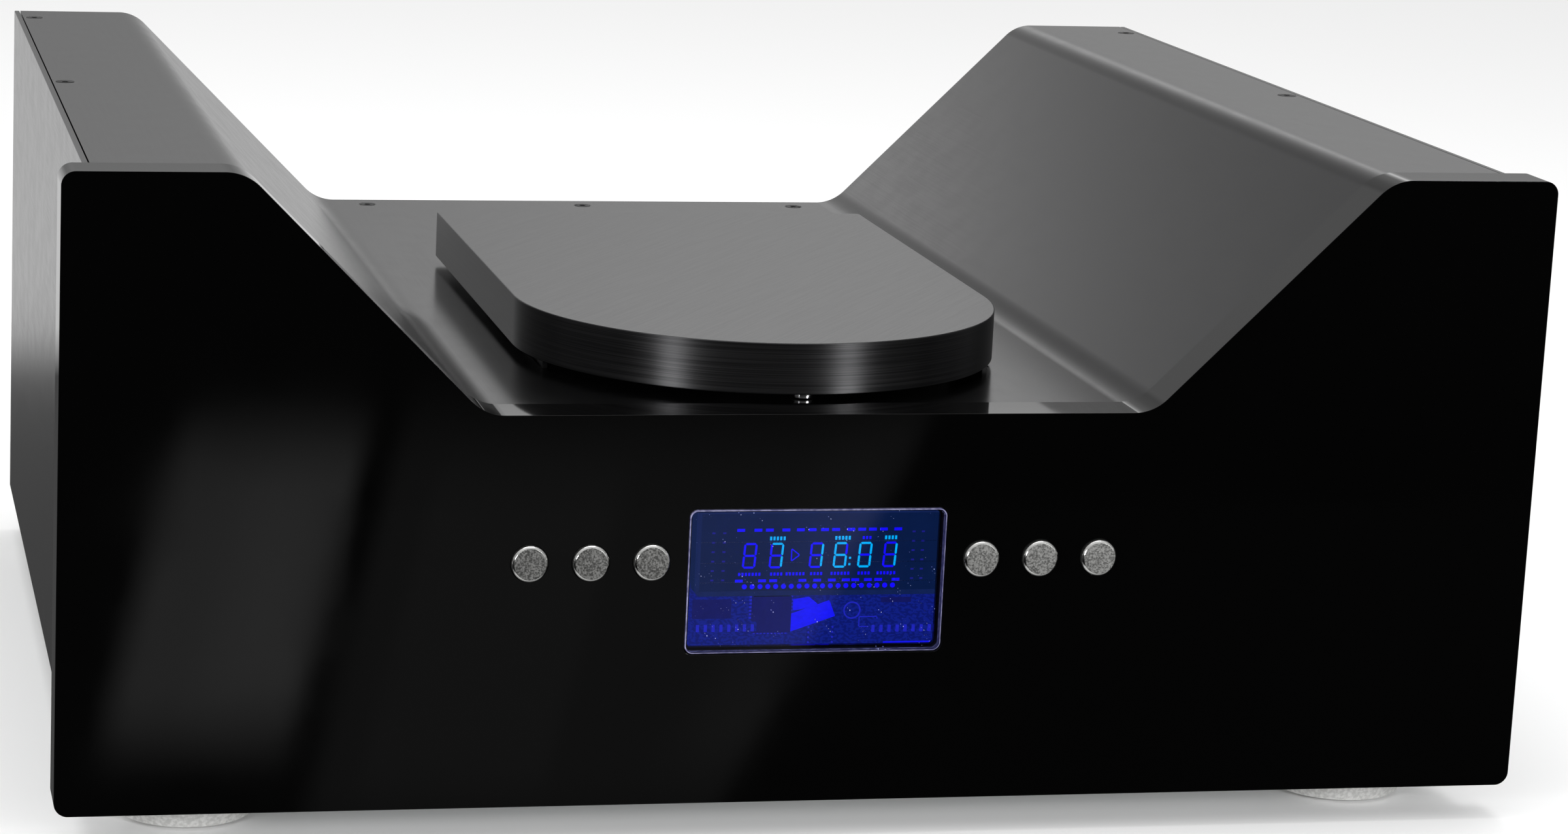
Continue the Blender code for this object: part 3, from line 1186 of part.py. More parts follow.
def add_heat_sink(board, seat):
    """Adds a finned heat sink to the main board."""
    x, depth = main_board_place(*HEAT_SINK_PLACE_SHARES)
    top = MAIN_BOARD_TOP_Z + HEAT_SINK_HEIGHT
    across = (x - HEAT_SINK_LENGTH / 2, x + HEAT_SINK_LENGTH / 2)
    front = depth - HEAT_SINK_DEPTH / 2
    join(board, block("heat_sink_tool", across, (front, front + HEAT_SINK_DEPTH), (seat, top)))
    fins = HEAT_SINK_SLOTS + 1
    slot = (HEAT_SINK_DEPTH - fins * HEAT_SINK_FIN) / HEAT_SINK_SLOTS
    across = (across[0] - OVERRUN, across[1] + OVERRUN)
    high = (MAIN_BOARD_TOP_Z + HEAT_SINK_WEB, top + OVERRUN)
    for index in range(HEAT_SINK_SLOTS):
        start = front + HEAT_SINK_FIN + index * (slot + HEAT_SINK_FIN)
        cut(board, block("fin_slot_cutter", across, (start, start + slot), high))


def filter_capacitors():
    """Tall capacitors that stand on the main board."""
    profile = [
        (0, 0),
        (CAPACITOR_RADIUS, 0),
        (CAPACITOR_RADIUS, CAPACITOR_HEIGHT - CAPACITOR_CHAMFER),
        (CAPACITOR_RADIUS - CAPACITOR_CHAMFER, CAPACITOR_HEIGHT),
        (0, CAPACITOR_HEIGHT),
    ]
    for number, shares in enumerate(CAPACITOR_PLACE_SHARES, start=1):
        x, depth = main_board_place(*shares)
        place = (x, FRONT_Y + depth, MAIN_BOARD_TOP_Z + JOINT_GAP)
        dress(turned(f"filter_capacitor_{number}", profile, place), "black_plastic", smooth=True)


def power_transformer():
    """Ring-shaped mains transformer, potted in the middle, on the base plate."""
    inner = TRANSFORMER_RADIUS - TRANSFORMER_ROUND
    low = Vector((inner, TRANSFORMER_ROUND))
    high = Vector((inner, TRANSFORMER_HEIGHT - TRANSFORMER_ROUND))
    dish_z = TRANSFORMER_HEIGHT - TRANSFORMER_DISH_DEPTH
    profile = [(0, 0)]
    profile += arc_points(low, TRANSFORMER_ROUND, -math.pi / 2, math.pi / 2, COARSE_STEP)
    profile += arc_points(high, TRANSFORMER_ROUND, 0, math.pi / 2, COARSE_STEP)
    profile += [(TRANSFORMER_DISH_RADIUS, TRANSFORMER_HEIGHT), (TRANSFORMER_DISH_RADIUS, dish_z)]
    profile.append((0, dish_z))
    x = TRANSFORMER_INNER_X - TRANSFORMER_RADIUS
    depth = REAR_INNER - TRANSFORMER_REAR_GAP - TRANSFORMER_RADIUS
    place = (x, FRONT_Y + depth, BASE_TOP_Z + JOINT_GAP)
    dress(turned("power_transformer", profile, place), "copper_winding", smooth=True)


def mains_inlet():
    """Inlet with its flange on the rear panel, its three pins and the bay of the rocker."""
    flange_width = 2 * (INLET_HALF_WIDTH + INLET_FLANGE_RIM)
    flange_height = 2 * (INLET_HALF_HEIGHT + INLET_FLANGE_RIM)
    outline = rounded_rectangle(INLET_X, CONNECTOR_Z, flange_width, flange_height, INLET_CORNER_RADIUS)
    inlet = plate("mains_inlet", outline, (REAR_FACE + JOINT_GAP, INLET_FACE))
    cavity_floor = INLET_FACE - INLET_CAVITY_DEPTH
    across = (INLET_X - INLET_HALF_WIDTH, INLET_X + INLET_HALF_WIDTH)
    deep = (cavity_floor - INLET_BACK_WALL, INLET_FACE - INLET_FLANGE_THICKNESS / 2)
    high = (CONNECTOR_Z - INLET_HALF_HEIGHT, CONNECTOR_Z + INLET_HALF_HEIGHT)
    join(inlet, block("inlet_body_tool", across, deep, high))
    half = INLET_CAVITY_WIDTH / 2
    high = (INLET_CAVITY_Z - INLET_CAVITY_HEIGHT / 2, INLET_CAVITY_Z + INLET_CAVITY_HEIGHT / 2)
    deep = (cavity_floor, INLET_FACE + OVERRUN)
    cut(inlet, block("inlet_cavity_cutter", (INLET_X - half, INLET_X + half), deep, high))
    half = ROCKER_HALF_WIDTH + SLIDE_CLEARANCE
    high = (ROCKER_Z - ROCKER_BAY_HALF, ROCKER_Z + ROCKER_BAY_HALF)
    deep = (INLET_FACE - ROCKER_BAY_DEPTH, INLET_FACE + OVERRUN)
    cut(inlet, block("rocker_bay_cutter", (INLET_X - half, INLET_X + half), deep, high))
    cut(inlet, pivot_rod("pivot_hole_cutter", half + PIVOT_LENGTH, PIVOT_RADIUS + JOINT_GAP))
    deep = (cavity_floor - INLET_BACK_WALL / 2, INLET_FACE - PIN_MOUTH_GAP)
    for across_share, up_share in PIN_PLACE_SHARES:
        x = INLET_X + across_share * INLET_CAVITY_WIDTH
        z = INLET_CAVITY_Z + up_share * INLET_CAVITY_HEIGHT
        across = (x - PIN_HALF_THICKNESS, x + PIN_HALF_THICKNESS)
        join(inlet, block("pin_tool", across, deep, (z - PIN_HALF_HEIGHT, z + PIN_HALF_HEIGHT)))
    dress(inlet, "black_plastic")


def pivot_rod(name, half_length, radius):
    """A rod on the rocker's pivot axis, as long on both sides."""
    start = (INLET_X - half_length, FRONT_Y + ROCKER_PIVOT_DEPTH, ROCKER_Z)
    return rod(name, start, (1, 0, 0), 2 * half_length, radius)


def power_rocker():
    """Rocker of the mains switch, with a shallow V in its face and a stub pivot on each side."""
    end = ROCKER_PIVOT_INSET + ROCKER_HALF_LENGTH * math.tan(ROCKER_TILT)
    outline = [
        (-ROCKER_BACK, -ROCKER_HALF_LENGTH),
        (end, -ROCKER_HALF_LENGTH),
        (ROCKER_PIVOT_INSET, 0),
        (end, ROCKER_HALF_LENGTH),
        (-ROCKER_BACK, ROCKER_HALF_LENGTH),
        (-ROCKER_BACK, ROCKER_HUB_HALF),
        (-ROCKER_HUB_DEPTH, ROCKER_HUB_HALF),
        (-ROCKER_HUB_DEPTH, -ROCKER_HUB_HALF),
        (-ROCKER_BACK, -ROCKER_HUB_HALF),
    ]
    mesh = prism(outline, 2 * ROCKER_HALF_WIDTH, 0)
    bmesh.ops.translate(mesh, vec=(0, 0, -ROCKER_HALF_WIDTH), verts=mesh.verts)
    sideways = Matrix(((0, 0, 1), (1, 0, 0), (0, 1, 0)))
    bmesh.ops.rotate(mesh, cent=(0, 0, 0), matrix=sideways, verts=mesh.verts)
    rocker = link_mesh("power_rocker", mesh, (INLET_X, FRONT_Y + ROCKER_PIVOT_DEPTH, ROCKER_Z))
    join(rocker, pivot_rod("pivot_tool", ROCKER_HALF_WIDTH + PIVOT_LENGTH, PIVOT_RADIUS))
    rocker.rotation_euler.x = -ROCKER_TILT
    dress(rocker, "black_plastic")


def jack_places():
    """The name and the place across of each jack, from the right side inwards."""
    first = INNER_HALF - JACK_SIDE_GAP
    names = ("right_output_jack", "left_output_jack", "digital_jack")
    return {name: first - index * JACK_SPACING for index, name in enumerate(names)}


def jacks():
    """Coaxial jacks, each with a flange on the rear panel and a tail inside."""
    tail = -REAR_THICKNESS - JACK_TAIL_LENGTH
    flange = JOINT_GAP + JACK_FLANGE_THICKNESS
    profile = [
        (0, tail),
        (JACK_TAIL_RADIUS, tail),
        (JACK_TAIL_RADIUS, JOINT_GAP),
        (JACK_FLANGE_RADIUS, JOINT_GAP),
        (JACK_FLANGE_RADIUS, flange),
        (JACK_BARREL_RADIUS, flange),
        (JACK_BARREL_RADIUS, JACK_REACH),
        (JACK_BORE_RADIUS, JACK_REACH),
        (JACK_BORE_RADIUS, JACK_REACH - JACK_BORE_DEPTH),
        (0, JACK_REACH - JACK_BORE_DEPTH),
    ]
    for name, x in jack_places().items():
        jack = turned(name, profile, (x, FRONT_Y + REAR_FACE, CONNECTOR_Z), (0, 1, 0), SMALL_SEGMENTS)
        dress(jack, "gold_plate", smooth=True)


def main():
    """Builds the whole player in an empty scene."""
    for old in list(bpy.data.objects):
        bpy.data.objects.remove(old, do_unlink=True)
    front_panel()
    display_window()
    push_buttons()
    front_subpanel()
    top_cover()
    side_panels()
    base_plate()
    rear_panel()
    frame_bars()
    cover_screws()
    feet()
    sliding_lid()
    lid_rails()
    transport()
    control_board()
    display_tube()
    main_board()
    filter_capacitors()
    power_transformer()
    mains_inlet()
    power_rocker()
    jacks()


main()
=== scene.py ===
"""Gives the disc player its finishes, its lit display, a studio and a camera.

It is laid out as an add-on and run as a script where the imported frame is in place. Each group of pieces
has an operator, and the Player tab of the 3D view's sidebar lists the operators in the order they run in.
Lengths are in metres. X runs to the right as seen from the front, Y from the front to the rear, Z up.
"""

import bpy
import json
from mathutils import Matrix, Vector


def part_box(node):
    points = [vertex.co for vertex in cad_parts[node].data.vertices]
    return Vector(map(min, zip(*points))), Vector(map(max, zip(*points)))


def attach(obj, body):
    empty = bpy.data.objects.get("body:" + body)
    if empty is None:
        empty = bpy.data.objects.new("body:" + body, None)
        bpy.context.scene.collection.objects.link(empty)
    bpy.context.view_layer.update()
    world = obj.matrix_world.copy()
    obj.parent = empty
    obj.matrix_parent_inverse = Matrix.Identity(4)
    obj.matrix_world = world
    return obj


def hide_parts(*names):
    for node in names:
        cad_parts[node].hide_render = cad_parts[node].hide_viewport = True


bl_info = {
    "name": "Disc Player Finishes",
    "version": (1, 0, 0),
    "blender": (4, 5, 0),
    "location": "3D View > Sidebar > Player",
    "description": "Dresses the packed disc player and sets up its studio",
    "category": "3D View",
}

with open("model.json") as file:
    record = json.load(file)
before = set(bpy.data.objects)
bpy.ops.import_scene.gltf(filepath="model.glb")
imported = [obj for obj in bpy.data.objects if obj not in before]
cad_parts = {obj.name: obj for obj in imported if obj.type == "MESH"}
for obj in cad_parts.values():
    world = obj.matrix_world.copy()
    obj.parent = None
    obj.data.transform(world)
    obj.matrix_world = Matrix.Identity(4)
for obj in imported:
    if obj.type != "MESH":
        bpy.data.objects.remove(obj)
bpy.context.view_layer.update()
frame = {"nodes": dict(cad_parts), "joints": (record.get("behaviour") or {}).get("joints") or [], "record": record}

import fnmatch
import functools
import json
import math

import bmesh
import bpy
from mathutils import Matrix, Vector

RECORD = frame["record"]
BODY_OF = {node: body for body, nodes in RECORD["behaviour"]["bodies"].items() for node in nodes}
JOINT = {joint["name"]: joint for joint in frame["joints"]}

MM = 0.001
MERGE_DISTANCE = 0.00001
OVERRUN = 0.001
JOINT_GAP = 0.0003
FLAT_ANGLE = math.radians(0.3)
EDGE_ANGLE = math.radians(30)
ARC_STEP = math.radians(1.5)
ROUND_STEPS = 128
SMALL_STEPS = 48
SIDES = (-1, 1)
# Widths of the rounds on edges
HAIR_EDGE, FINE_EDGE, SOFT_EDGE, FULL_EDGE = 0.0001, 0.0002, 0.0003, 0.0004
SCREW_EDGE, BUTTON_EDGE, FOOT_EDGE = 0.00008, 0.00012, 0.0005

# Front panel and buttons
WINDOW_LEDGE_THICKNESS = 0.0015
BUTTON_FLANGE_WIDTH = 0.0012
BUTTON_FLANGE_THICKNESS = 0.0011
BUTTON_POCKET_DEPTH = 0.003
BUTTON_CHAMFER = 0.0006
BUTTON_STEM_RADIUS = 0.0025

# Cover, screws, lid and feet
BLADE_THICKNESS = 0.0016
SLIDE_CLEARANCE = 0.0004
CUTTER_REACH = 0.012
SCREW_HEAD_DEPTH = 0.0017
SCREW_SHANK = 0.0015
SOCKET_RADIUS = 0.00115
SOCKET_DEPTH = 0.0012
LID_REAR_CORNER = 0.002
FOOT_TREAD_RADIUS = 0.0196
FOOT_CHAMFER_HEIGHT = 0.0045
FOOT_PAD_RADIUS = 0.0165
FOOT_PAD_HEIGHT = 0.0008

# Disc well and drive
WELL_WALL = 0.0015
WELL_BOTTOM = 0.002
WELL_FLANGE_THICKNESS = 0.002
HUB_HOLE_RADIUS = 0.0175
SLOT_HALF_WIDTH = 0.0075
SLOT_RISE = 0.0055
HUB_RADIUS = 0.015
HUB_THICKNESS = 0.003
BOSS_RADIUS = 0.0073
BOSS_HEIGHT = 0.0022
BOSS_CHAMFER = 0.001
COLLAR_RADIUS = 0.005
SPINDLE_RADIUS = 0.0015
MAT_INNER_RADIUS = 0.0095
MAT_OUTER_RADIUS = 0.0145
MAT_THICKNESS = 0.0002
CLAMP_HEIGHT = 0.008
CLAMP_NECK_RADIUS = 0.006
CLAMP_NECK_HEIGHT = 0.0012
CLAMP_KNOB_RADIUS = 0.0085
THREAD_PITCH = 0.001
THREAD_DEPTH = 0.0003
WAVES_PER_UNIT = 20

# Rear fittings
JACK_FLANGE_RADIUS = 0.006
JACK_FLANGE_THICKNESS = 0.0015
JACK_BARREL_RADIUS = 0.00415
JACK_BARREL_INNER = 0.0033
JACK_REACH = 0.010
JACK_RECESS = 0.0006
JACK_BORE_RADIUS = 0.0016
JACK_BORE_DEPTH = 0.0075
JACK_TAIL_RADIUS = 0.0035
INSULATORS = {
    "right_output_jack": "red_nylon",
    "left_output_jack": "white_nylon",
    "digital_jack": "orange_nylon",
}
INLET_WALL = 0.0026
INLET_CAVITY_WIDTH = 0.0245
INLET_CAVITY_HEIGHT = 0.0165
INLET_CAVITY_DEPTH = 0.017
INLET_RIM = 0.003
PIN_MOUTH_GAP = 0.005
PIN_HALF_THICKNESS = 0.00105
PIN_HALF_HEIGHT = 0.00205
PIN_PLACE_SHARES = ((-0.28, -0.12), (0.0, 0.12), (0.28, -0.12))
ROCKER_TILT = math.radians(8)
ROCKER_PIVOT_INSET = 0.003
ROCKER_MARK_OFFSET = 0.0052
MARK_THICKNESS = 0.00008
RING_MARK_RADII = (0.0014, 0.0019)
BAR_MARK_HALF_WIDTH, BAR_MARK_HALF_HEIGHT = 0.00025, 0.0019
PIN_PLATING = 0.00005

# Display tube: its glass, and its marks in millimetres from the middle of the window
TUBE_GLASS = 0.0006
TUBE_RIM = 0.0011
TUBE_CORNER = 0.0015
MARK_DEPTH = 0.0001
SLANT = math.tan(math.radians(4))
DIGIT_WIDTH, DIGIT_HEIGHT, STROKE = 3.35, 7.0, 0.6
DIGIT_Z = 2.2
SEGMENT_LINES = {
    "a": ((-0.5, 0.5), (0.5, 0.5)),
    "b": ((0.5, 0.5), (0.5, 0.0)),
    "c": ((0.5, 0.0), (0.5, -0.5)),
    "d": ((-0.5, -0.5), (0.5, -0.5)),
    "e": ((-0.5, -0.5), (-0.5, 0.0)),
    "f": ((-0.5, 0.0), (-0.5, 0.5)),
    "g": ((-0.5, 0.0), (0.5, 0.0)),
}
DIGITS = ((-14.7, ""), (-6.8, "abc"), (5.1, "bc"), (12.3, "acdefg"), (19.6, "abcdef"), (27.1, "bc"))
COLON = ((15.2, 1.3), (15.1, -0.6))
COLON_SIZE = 0.6
TICK_WIDTH, TICK_STEP = 0.6, 1.0
# Rows of upright ticks: middle, height, how many and how tall
LIT_TICKS = ((-6.6, 7.3, 5, 1.1), (12.8, 7.3, 5, 1.1), (27.2, 7.3, 4, 1.1))
RESTING_TICKS = (
    (-14.6, -3.3, 7, 0.9), (-6.6, -3.3, 4, 0.9), (-1.0, -3.3, 6, 0.9), (5.3, -3.3, 4, 0.9),
    (12.4, -3.3, 6, 0.9), (19.5, -3.3, 4, 0.9), (26.2, -3.3, 6, 0.9), (20.0, 7.3, 3, 0.9),
)
DASH_SIZE = (2.3, 0.85)
TOP_DASHES = (-17.6, -12.5, -9.1, -4.2, 0.1, 3.6, 7.3, 10.6, 15.1, 18.4, 21.6, 24.9, 29.2)
TOP_DASH_Z = 9.8
LOW_DASHES = (-17.6, -10.7, -7.4, 1.3, 5.7, 10.1, 14.3, 17.1, 20.9, 24.0, 29.2)
LOW_DASH_Z = -5.3
DOME_START, DOME_STEP, DOME_COUNT, DOME_Z, DOME_RADIUS = -15.9, 2.33, 20, -7.0, 0.75
SIDE_MARK_COLUMNS = (-25.6, -22.4, 34.0, 36.8)
SIDE_MARK_ROWS = (-5.0, -2.2, 0.6, 3.4, 6.2, 9.0)
SIDE_MARK_SIZE = (0.9, 0.5)
TRIANGLE = ((-2.3, 0.5), (-2.3, 4.2), (0.1, 2.3))
FILAMENT_RADIUS = 0.00004
FILAMENT_PLACES = (-5.6, 0.2, 6.4)

# Parts on the control board, in millimetres from the middle of the window
BEHIND_WINDOW_MARGIN = 0.006
# Painted tube shadow on the board above this range of heights, measured down from the middle of the window
PAINTED_SHADOW_BELOW = (11.5, 6.0)
HEADER_DEPTH = 0.0032
HEADERS = ((-20.4, -19.55, 18.2, 2.4), (32.2, -19.55, 18.2, 2.4))
COMB_ROWS = ((-28.9, -12.6, -19.7, 8), (23.6, 40.6, -20.4, 8))
COMB_HALF_WIDTH, COMB_HALF_HEIGHT, COMB_THICKNESS = 0.0004, 0.0010, 0.0006
PIN_COLUMNS = ((5.1, -20.7), (12.3, -20.7))
PINS_IN_COLUMN, PIN_STEP, PIN_RADIUS = 4, 1.5, 0.0003
CHIP_CORNERS = ((-12.3, -21.8), (-0.7, -10.9))
CHIP_THICKNESS = 0.0017
CHIP_LEADS, LEAD_REACH, LEAD_THICKNESS = 10, 0.0007, 0.0003
DARK_BLOCKS = ((-24.2, -14.8, 11.5, 5.6), (31.0, -12.6, 9.0, 1.4))
BLOCK_THICKNESS = 0.0008
RING_PLACE = (17.9, -15.7)
RING_RADII = (0.0022, 0.0026)
OUTLINE_CORNERS = ((20.2, -20.7), (25.6, -20.7), (25.6, -17.7), (20.2, -17.7))
RIBBONS = (
    ((-0.5, -21.7), (12.7, -17.2), (10.9, -12.6), (-0.6, -16.6)),
    ((0.1, -15.4), (6.7, -14.3), (7.3, -13.5), (4.8, -11.5), (0.1, -12.2)),
)
RIBBON_STANDOFF = 0.001
BOTTOM_STRIP = (35.8, -26.1, 16.0, 1.6)

SOFT_STEP = (0.35, 0.65)
NYLON = dict(IOR=1.53, grain=(1.5, 1.5, 1.5), rough=(0.28, 0.42))
# Recipes of the finishes, each with what it gives the eye. "grain" is the size of its noise in
# millimetres along X, Y and Z, and "turn" the grain's turn in degrees. The grain changes the roughness
# over "rough", other sockets as "varied" says and the colour over "tints", with soft "edges", and has a
# "depth" in millimetres.
FINISHES = {
    # Cast acrylic, polished: a deep black under a mirror skin with the faintest haze
    "polished_black_acrylic": dict(
        colour="acrylic", IOR=1.49, grain=(40, 40, 60), detail=4.0, rough=(0.012, 0.05),
    ),
    # Thick aluminium plate, brushed in one slanting direction and dyed black: an even sheen
    "brushed_lid_anodising": dict(
        colour="anodised", Metallic=1.0, grain=(0.4, 30, 0.4), detail=3.0, turn=35, rough=(0.188, 0.215),
    ),
    # Edge of the lid, milled round it and dyed black: fine level grooves smear its highlights upright
    "milled_lid_edge": dict(
        Metallic=1.0, Anisotropic=0.95, grain=(60, 60, 0.35), detail=3.0, rough=(0.43, 0.47),
        tints=("#323233", "#424243"), edges=SOFT_STEP,
    ),
    # Face of a button, glass-bead blasted and clear anodised: a mottled grey grain, which is really about
    # 0.1 mm and is drawn at 0.5 mm, so that it shows at all
    "blasted_button_anodising": dict(
        Metallic=1.0, grain=(0.5, 0.5, 0.5), detail=3.0, rough=(0.34, 0.5), tints=("#8C8C8A", "#A8A8A6"),
        edges=SOFT_STEP, depth=0.02,
    ),
    # Chamfer of a button, cut with a diamond tool: a thin bright ring
    "polished_button_rim": dict(colour="#E2E2E0", Metallic=1.0, grain=(1.5, 0.1, 1.5), rough=(0.09, 0.2)),
    # Foot of cast aluminium, blasted and clear anodised: pale, nearly matt and lightly mottled
    "blasted_foot_anodising": dict(
        Metallic=0.3, Roughness=0.5, grain=(1.2, 1.2, 1.2), detail=4.0, tints=("#BEBEBC", "#D8D8D6"),
        edges=SOFT_STEP, depth=0.02,
    ),
    # Aluminium turned on a lathe and clear anodised: bright, with fine rings
    "turned_silver_aluminium": dict(colour="silver", Metallic=1.0, grain=(8, 8, 0.25), rough=(0.16, 0.3)),
    # Sheet steel with a black oxide: nearly matt, slightly blotched
    "blackened_steel": dict(
        colour="#1B1B1C", Metallic=0.8, grain=(12, 12, 12), detail=4.0, rough=(0.38, 0.55),
    ),
    # Steel with passivated zinc plate: cool grey with faint spangle
    "zinc_plated_steel": dict(
        Metallic=1.0, grain=(5, 5, 5), detail=5.0, rough=(0.3, 0.48), tints=("#A9AEB2", "#C0C2BE"),
    ),
    # Hardened steel rod, centreless ground: mirror-like with hairline rings
    "ground_steel": dict(colour="#C9CACB", Metallic=1.0, grain=(2, 0.3, 2), rough=(0.1, 0.22)),
    # Brass pins with bright nickel plate, lightly scuffed by a plug
    "nickel_plate": dict(colour="#CFCBC0", Metallic=1.0, grain=(0.4, 6, 0.4), rough=(0.14, 0.32)),
    # ABS moulded in a spark-eroded tool: soft black with a fine leathery grain
    "moulded_black_abs": dict(
        colour="#161617", IOR=1.53, grain=(0.4, 0.4, 0.4), rough=(0.42, 0.58), depth=0.015,
    ),
    # Moulded nylon of the jacks' insulators, satin and a little milky: red, and white, which is also the
    # ink on the rocker, and orange
    "red_nylon": dict(colour="#A3161A", **NYLON),
    "white_nylon": dict(colour="#DCDCD6", **NYLON),
    "orange_nylon": dict(colour="#D0681A", **NYLON),
    # Soft black rubber: matt with a bloom of dust
    "moulded_rubber": dict(
        Roughness=0.85, IOR=1.52, grain=(2, 2, 2), detail=4.0, tints=("#161616", "#2A2A29"),
    ),
    # Glass-fibre board under green solder mask, with tracks just showing
    "green_solder_mask": dict(
        Roughness=0.4, IOR=1.5, grain=(1.2, 14, 1.2), detail=0.0, tints=("#0C4023", "#176238"),
        edges=(0.48, 0.52),
    ),
    # Brass turned and gold plated: warm and bright, with fine rings
    "gold_plate": dict(colour="#E6BE6A", Metallic=1.0, grain=(4, 0.3, 4), rough=(0.15, 0.3)),
    # Polyester tape wound over the transformer's coil: glossy orange-brown
    "polyester_tape": dict(
        Roughness=0.35, IOR=1.6, grain=(6, 6, 30), detail=1.0, tints=("#96531F", "#B57238"),
    ),
    # Shrunk sleeve of a capacitor: glossy dark blue, slightly orange-peeled
    "capacitor_sleeve": dict(
        colour="#141A33", IOR=1.54, grain=(1.5, 1.5, 3), rough=(0.2, 0.32), depth=0.02,
    ),
    # Small moulded lens with a bluish anti-reflection coating
    "coated_lens_glass": dict(
        Roughness=0.03, IOR=1.58, grain=(1.5, 1.5, 1.5), tints=("#6E86D8", "#A48CE0"),
    ),
    # Acrylic pane dyed blue: clear to look through, with specks of dust on it. They are drawn at about
    # 0.5 mm, because the real dust would be too small to show.
    "blue_filter_acrylic": dict(
        colour="#C8CCFF", Roughness=0.0, IOR=1.49, Transmission_Weight=1.0, grain=(0.5, 40, 0.5),
        detail=0.0, varied={"Transmission Weight": (1.0, 0.0, 0.85, 0.88)},
    ),
    # Edge of the pane, sawn and scraped: it gathers light and shows as a thin lilac-grey line
    "scraped_pane_edge": dict(
        Roughness=0.35, IOR=1.49, grain=(1.5, 1.5, 1.5), detail=3.0, tints=("#56557C", "#8483A4"),
        edges=SOFT_STEP,
    ),
    # Thin clear glass in front of the display's segments, with wiping marks that hardly show
    "tube_glass": dict(
        colour="#F2F4F4", IOR=1.52, Transmission_Weight=1.0, grain=(20, 20, 6), rough=(0.0, 0.004),
    ),
}
# Surfaces inside the display, in the colour that the filter lets through: colour, strength, grain in mm
# Strength is of emission: a painted glow of the tube's light, except on the lit phosphor, which glows.
GLOWS = {
    # Phosphor that glows blue-green
    "lit_phosphor": ("lit", 1.25, (9, 9, 9)),
    # Phosphor at rest: white powder, which shows as pure blue through the filter, with a painted glow on it
    "resting_phosphor": ("resting", 1.3, (9, 9, 9)),
    # Small phosphor marks at the tube's ends, with a faint painted glow, as the tube's light hardly reaches them
    "faint_phosphor": ("#2A2A90", 1.0, (3, 3, 3)),
    # Dark glass base of the display tube, with a dim painted glow of the tube's light
    "display_ground": ("ground", 1.0, (9, 9, 9)),
    # Glass frit that seals the tube's plates: a frame with a faint painted glow, where the tube's light picks it
    # out
    "frit_frame": ("#1B3058", 1.0, (3, 3, 3)),
    # Moulded bodies of the parts on the driver's board: dark, with a dim painted glow of the blue light
    "board_parts_in_blue_light": ("#1A205F", 1.0, (2, 2, 2)),
    # Soldered joints, pins and bare copper: a bright painted glow, standing for the blue light they throw back
    "solder_in_blue_light": ("#3038D0", 0.8, (1.5, 1.5, 1.5)),
    # Flat ribbon cable with pale insulation, the brightest thing below the tube: a painted glow of the blue light
    "ribbon_in_blue_light": ("#2020FF", 0.95, (2, 2, 1)),
}

# Studio: how bright each direction is in a reflection, by its elevation in degrees
REAR_BRIGHTNESS = (
    (-90, 0.8), (-36, 0.8), (-30, 0.1), (-11.9, 0.1), (-11.2, 0.95), (-2, 0.85), (3, 0.45),
    (6.5, 0.36), (8, 0.44), (10, 0.58), (12, 0.8), (14.5, 1.7), (17, 0.8), (19, 0.46), (40, 0.6), (60, 0.9),
)
FRONT_BRIGHTNESS = ((-90, 0.8), (-50, 0.8), (-40, 0.0), (0, 0.0), (8, 0.3), (30, 0.5), (60, 0.9))
# Bands that the front panel mirrors: slope and soft left edge, slope and soft right edge, then the soft
# bottom and top edges in millimetres on the panel, and how bright the band is.
PANEL_BANDS = (
    ((0.223, -213, -200), (0.223, -159, -150), (6, 38), (90, 125), 0.46),
    ((0.223, -192, -172), (0.223, -161, -151), (10, 48), (80, 120), 0.13),
    ((0.223, -150, -140), (0.485, -30, -20), (-30, 10), (92, 135), 0.12),
    ((0.223, -136, -128), (0.223, -82, -74), (-10, 20), (80, 115), 0.035),
    ((0.485, -58, -32), (0.485, -27, -20), (0, 25), (100, 125), 0.06),
    ((0.0, -400, -300), (0.0, 300, 400), (-60, -50), (86.5, 87.5), 0.01),
)
PANEL_GLEAM = 0.004
# Changes of the rear brightness from left to right: least and most change, from one X over Y to another
REAR_TILTS = ((-0.17, 0.12, 0.06, 0.26), (0.5, 0.0, -0.2, -0.06))
# Low upright strip lights that the edge of the lid shows: name, azimuth in degrees and width
STRIP_LIGHTS = (("left_strip", -133, 0.2), ("right_strip", 149, 0.2))
STRIP_RISE = 0.15
STRIP_DISTANCE = 1.3
STRIP_LENGTH = 0.28
SOFTBOX_PLACE, SOFTBOX_TARGET = (0, 0.1, 1.7), (0, 0, 0.1)
SOFTBOX_WIDTH, SOFTBOX_DEPTH, SOFTBOX_POWER = 1.4, 1.0, 12
FLOOR_RADIUS = 9
SENSOR_WIDTH = 36
NEAREST_SHOWN = 0.05


def linear(hex_colour):
    """Turns an sRGB hex colour such as #8090A0 into linear red, green, blue and alpha."""
    shares = [int(hex_colour[start:start + 2], 16) / 255 for start in (1, 3, 5)]
    return (*[s / 12.92 if s <= 0.04045 else ((s + 0.055) / 1.055) ** 2.4 for s in shares], 1.0)


def length(name, description, default):
    """A size setting."""
    return bpy.props.FloatProperty(name=name, description=description, default=default, unit="LENGTH")


def tone(name, description, default):
    """A colour setting, from a hex colour."""
    return bpy.props.FloatVectorProperty(
        name=name, description=description, default=linear(default), size=4, subtype="COLOR"
    )


def portion(name, description, default):
    """A setting that is a share of something."""
    return bpy.props.FloatProperty(name=name, description=description, default=default, subtype="FACTOR")


def angle(name, description, degrees):
    """An angle setting, from degrees."""
    return bpy.props.FloatProperty(
        name=name, description=description, default=math.radians(degrees), subtype="ANGLE"
    )


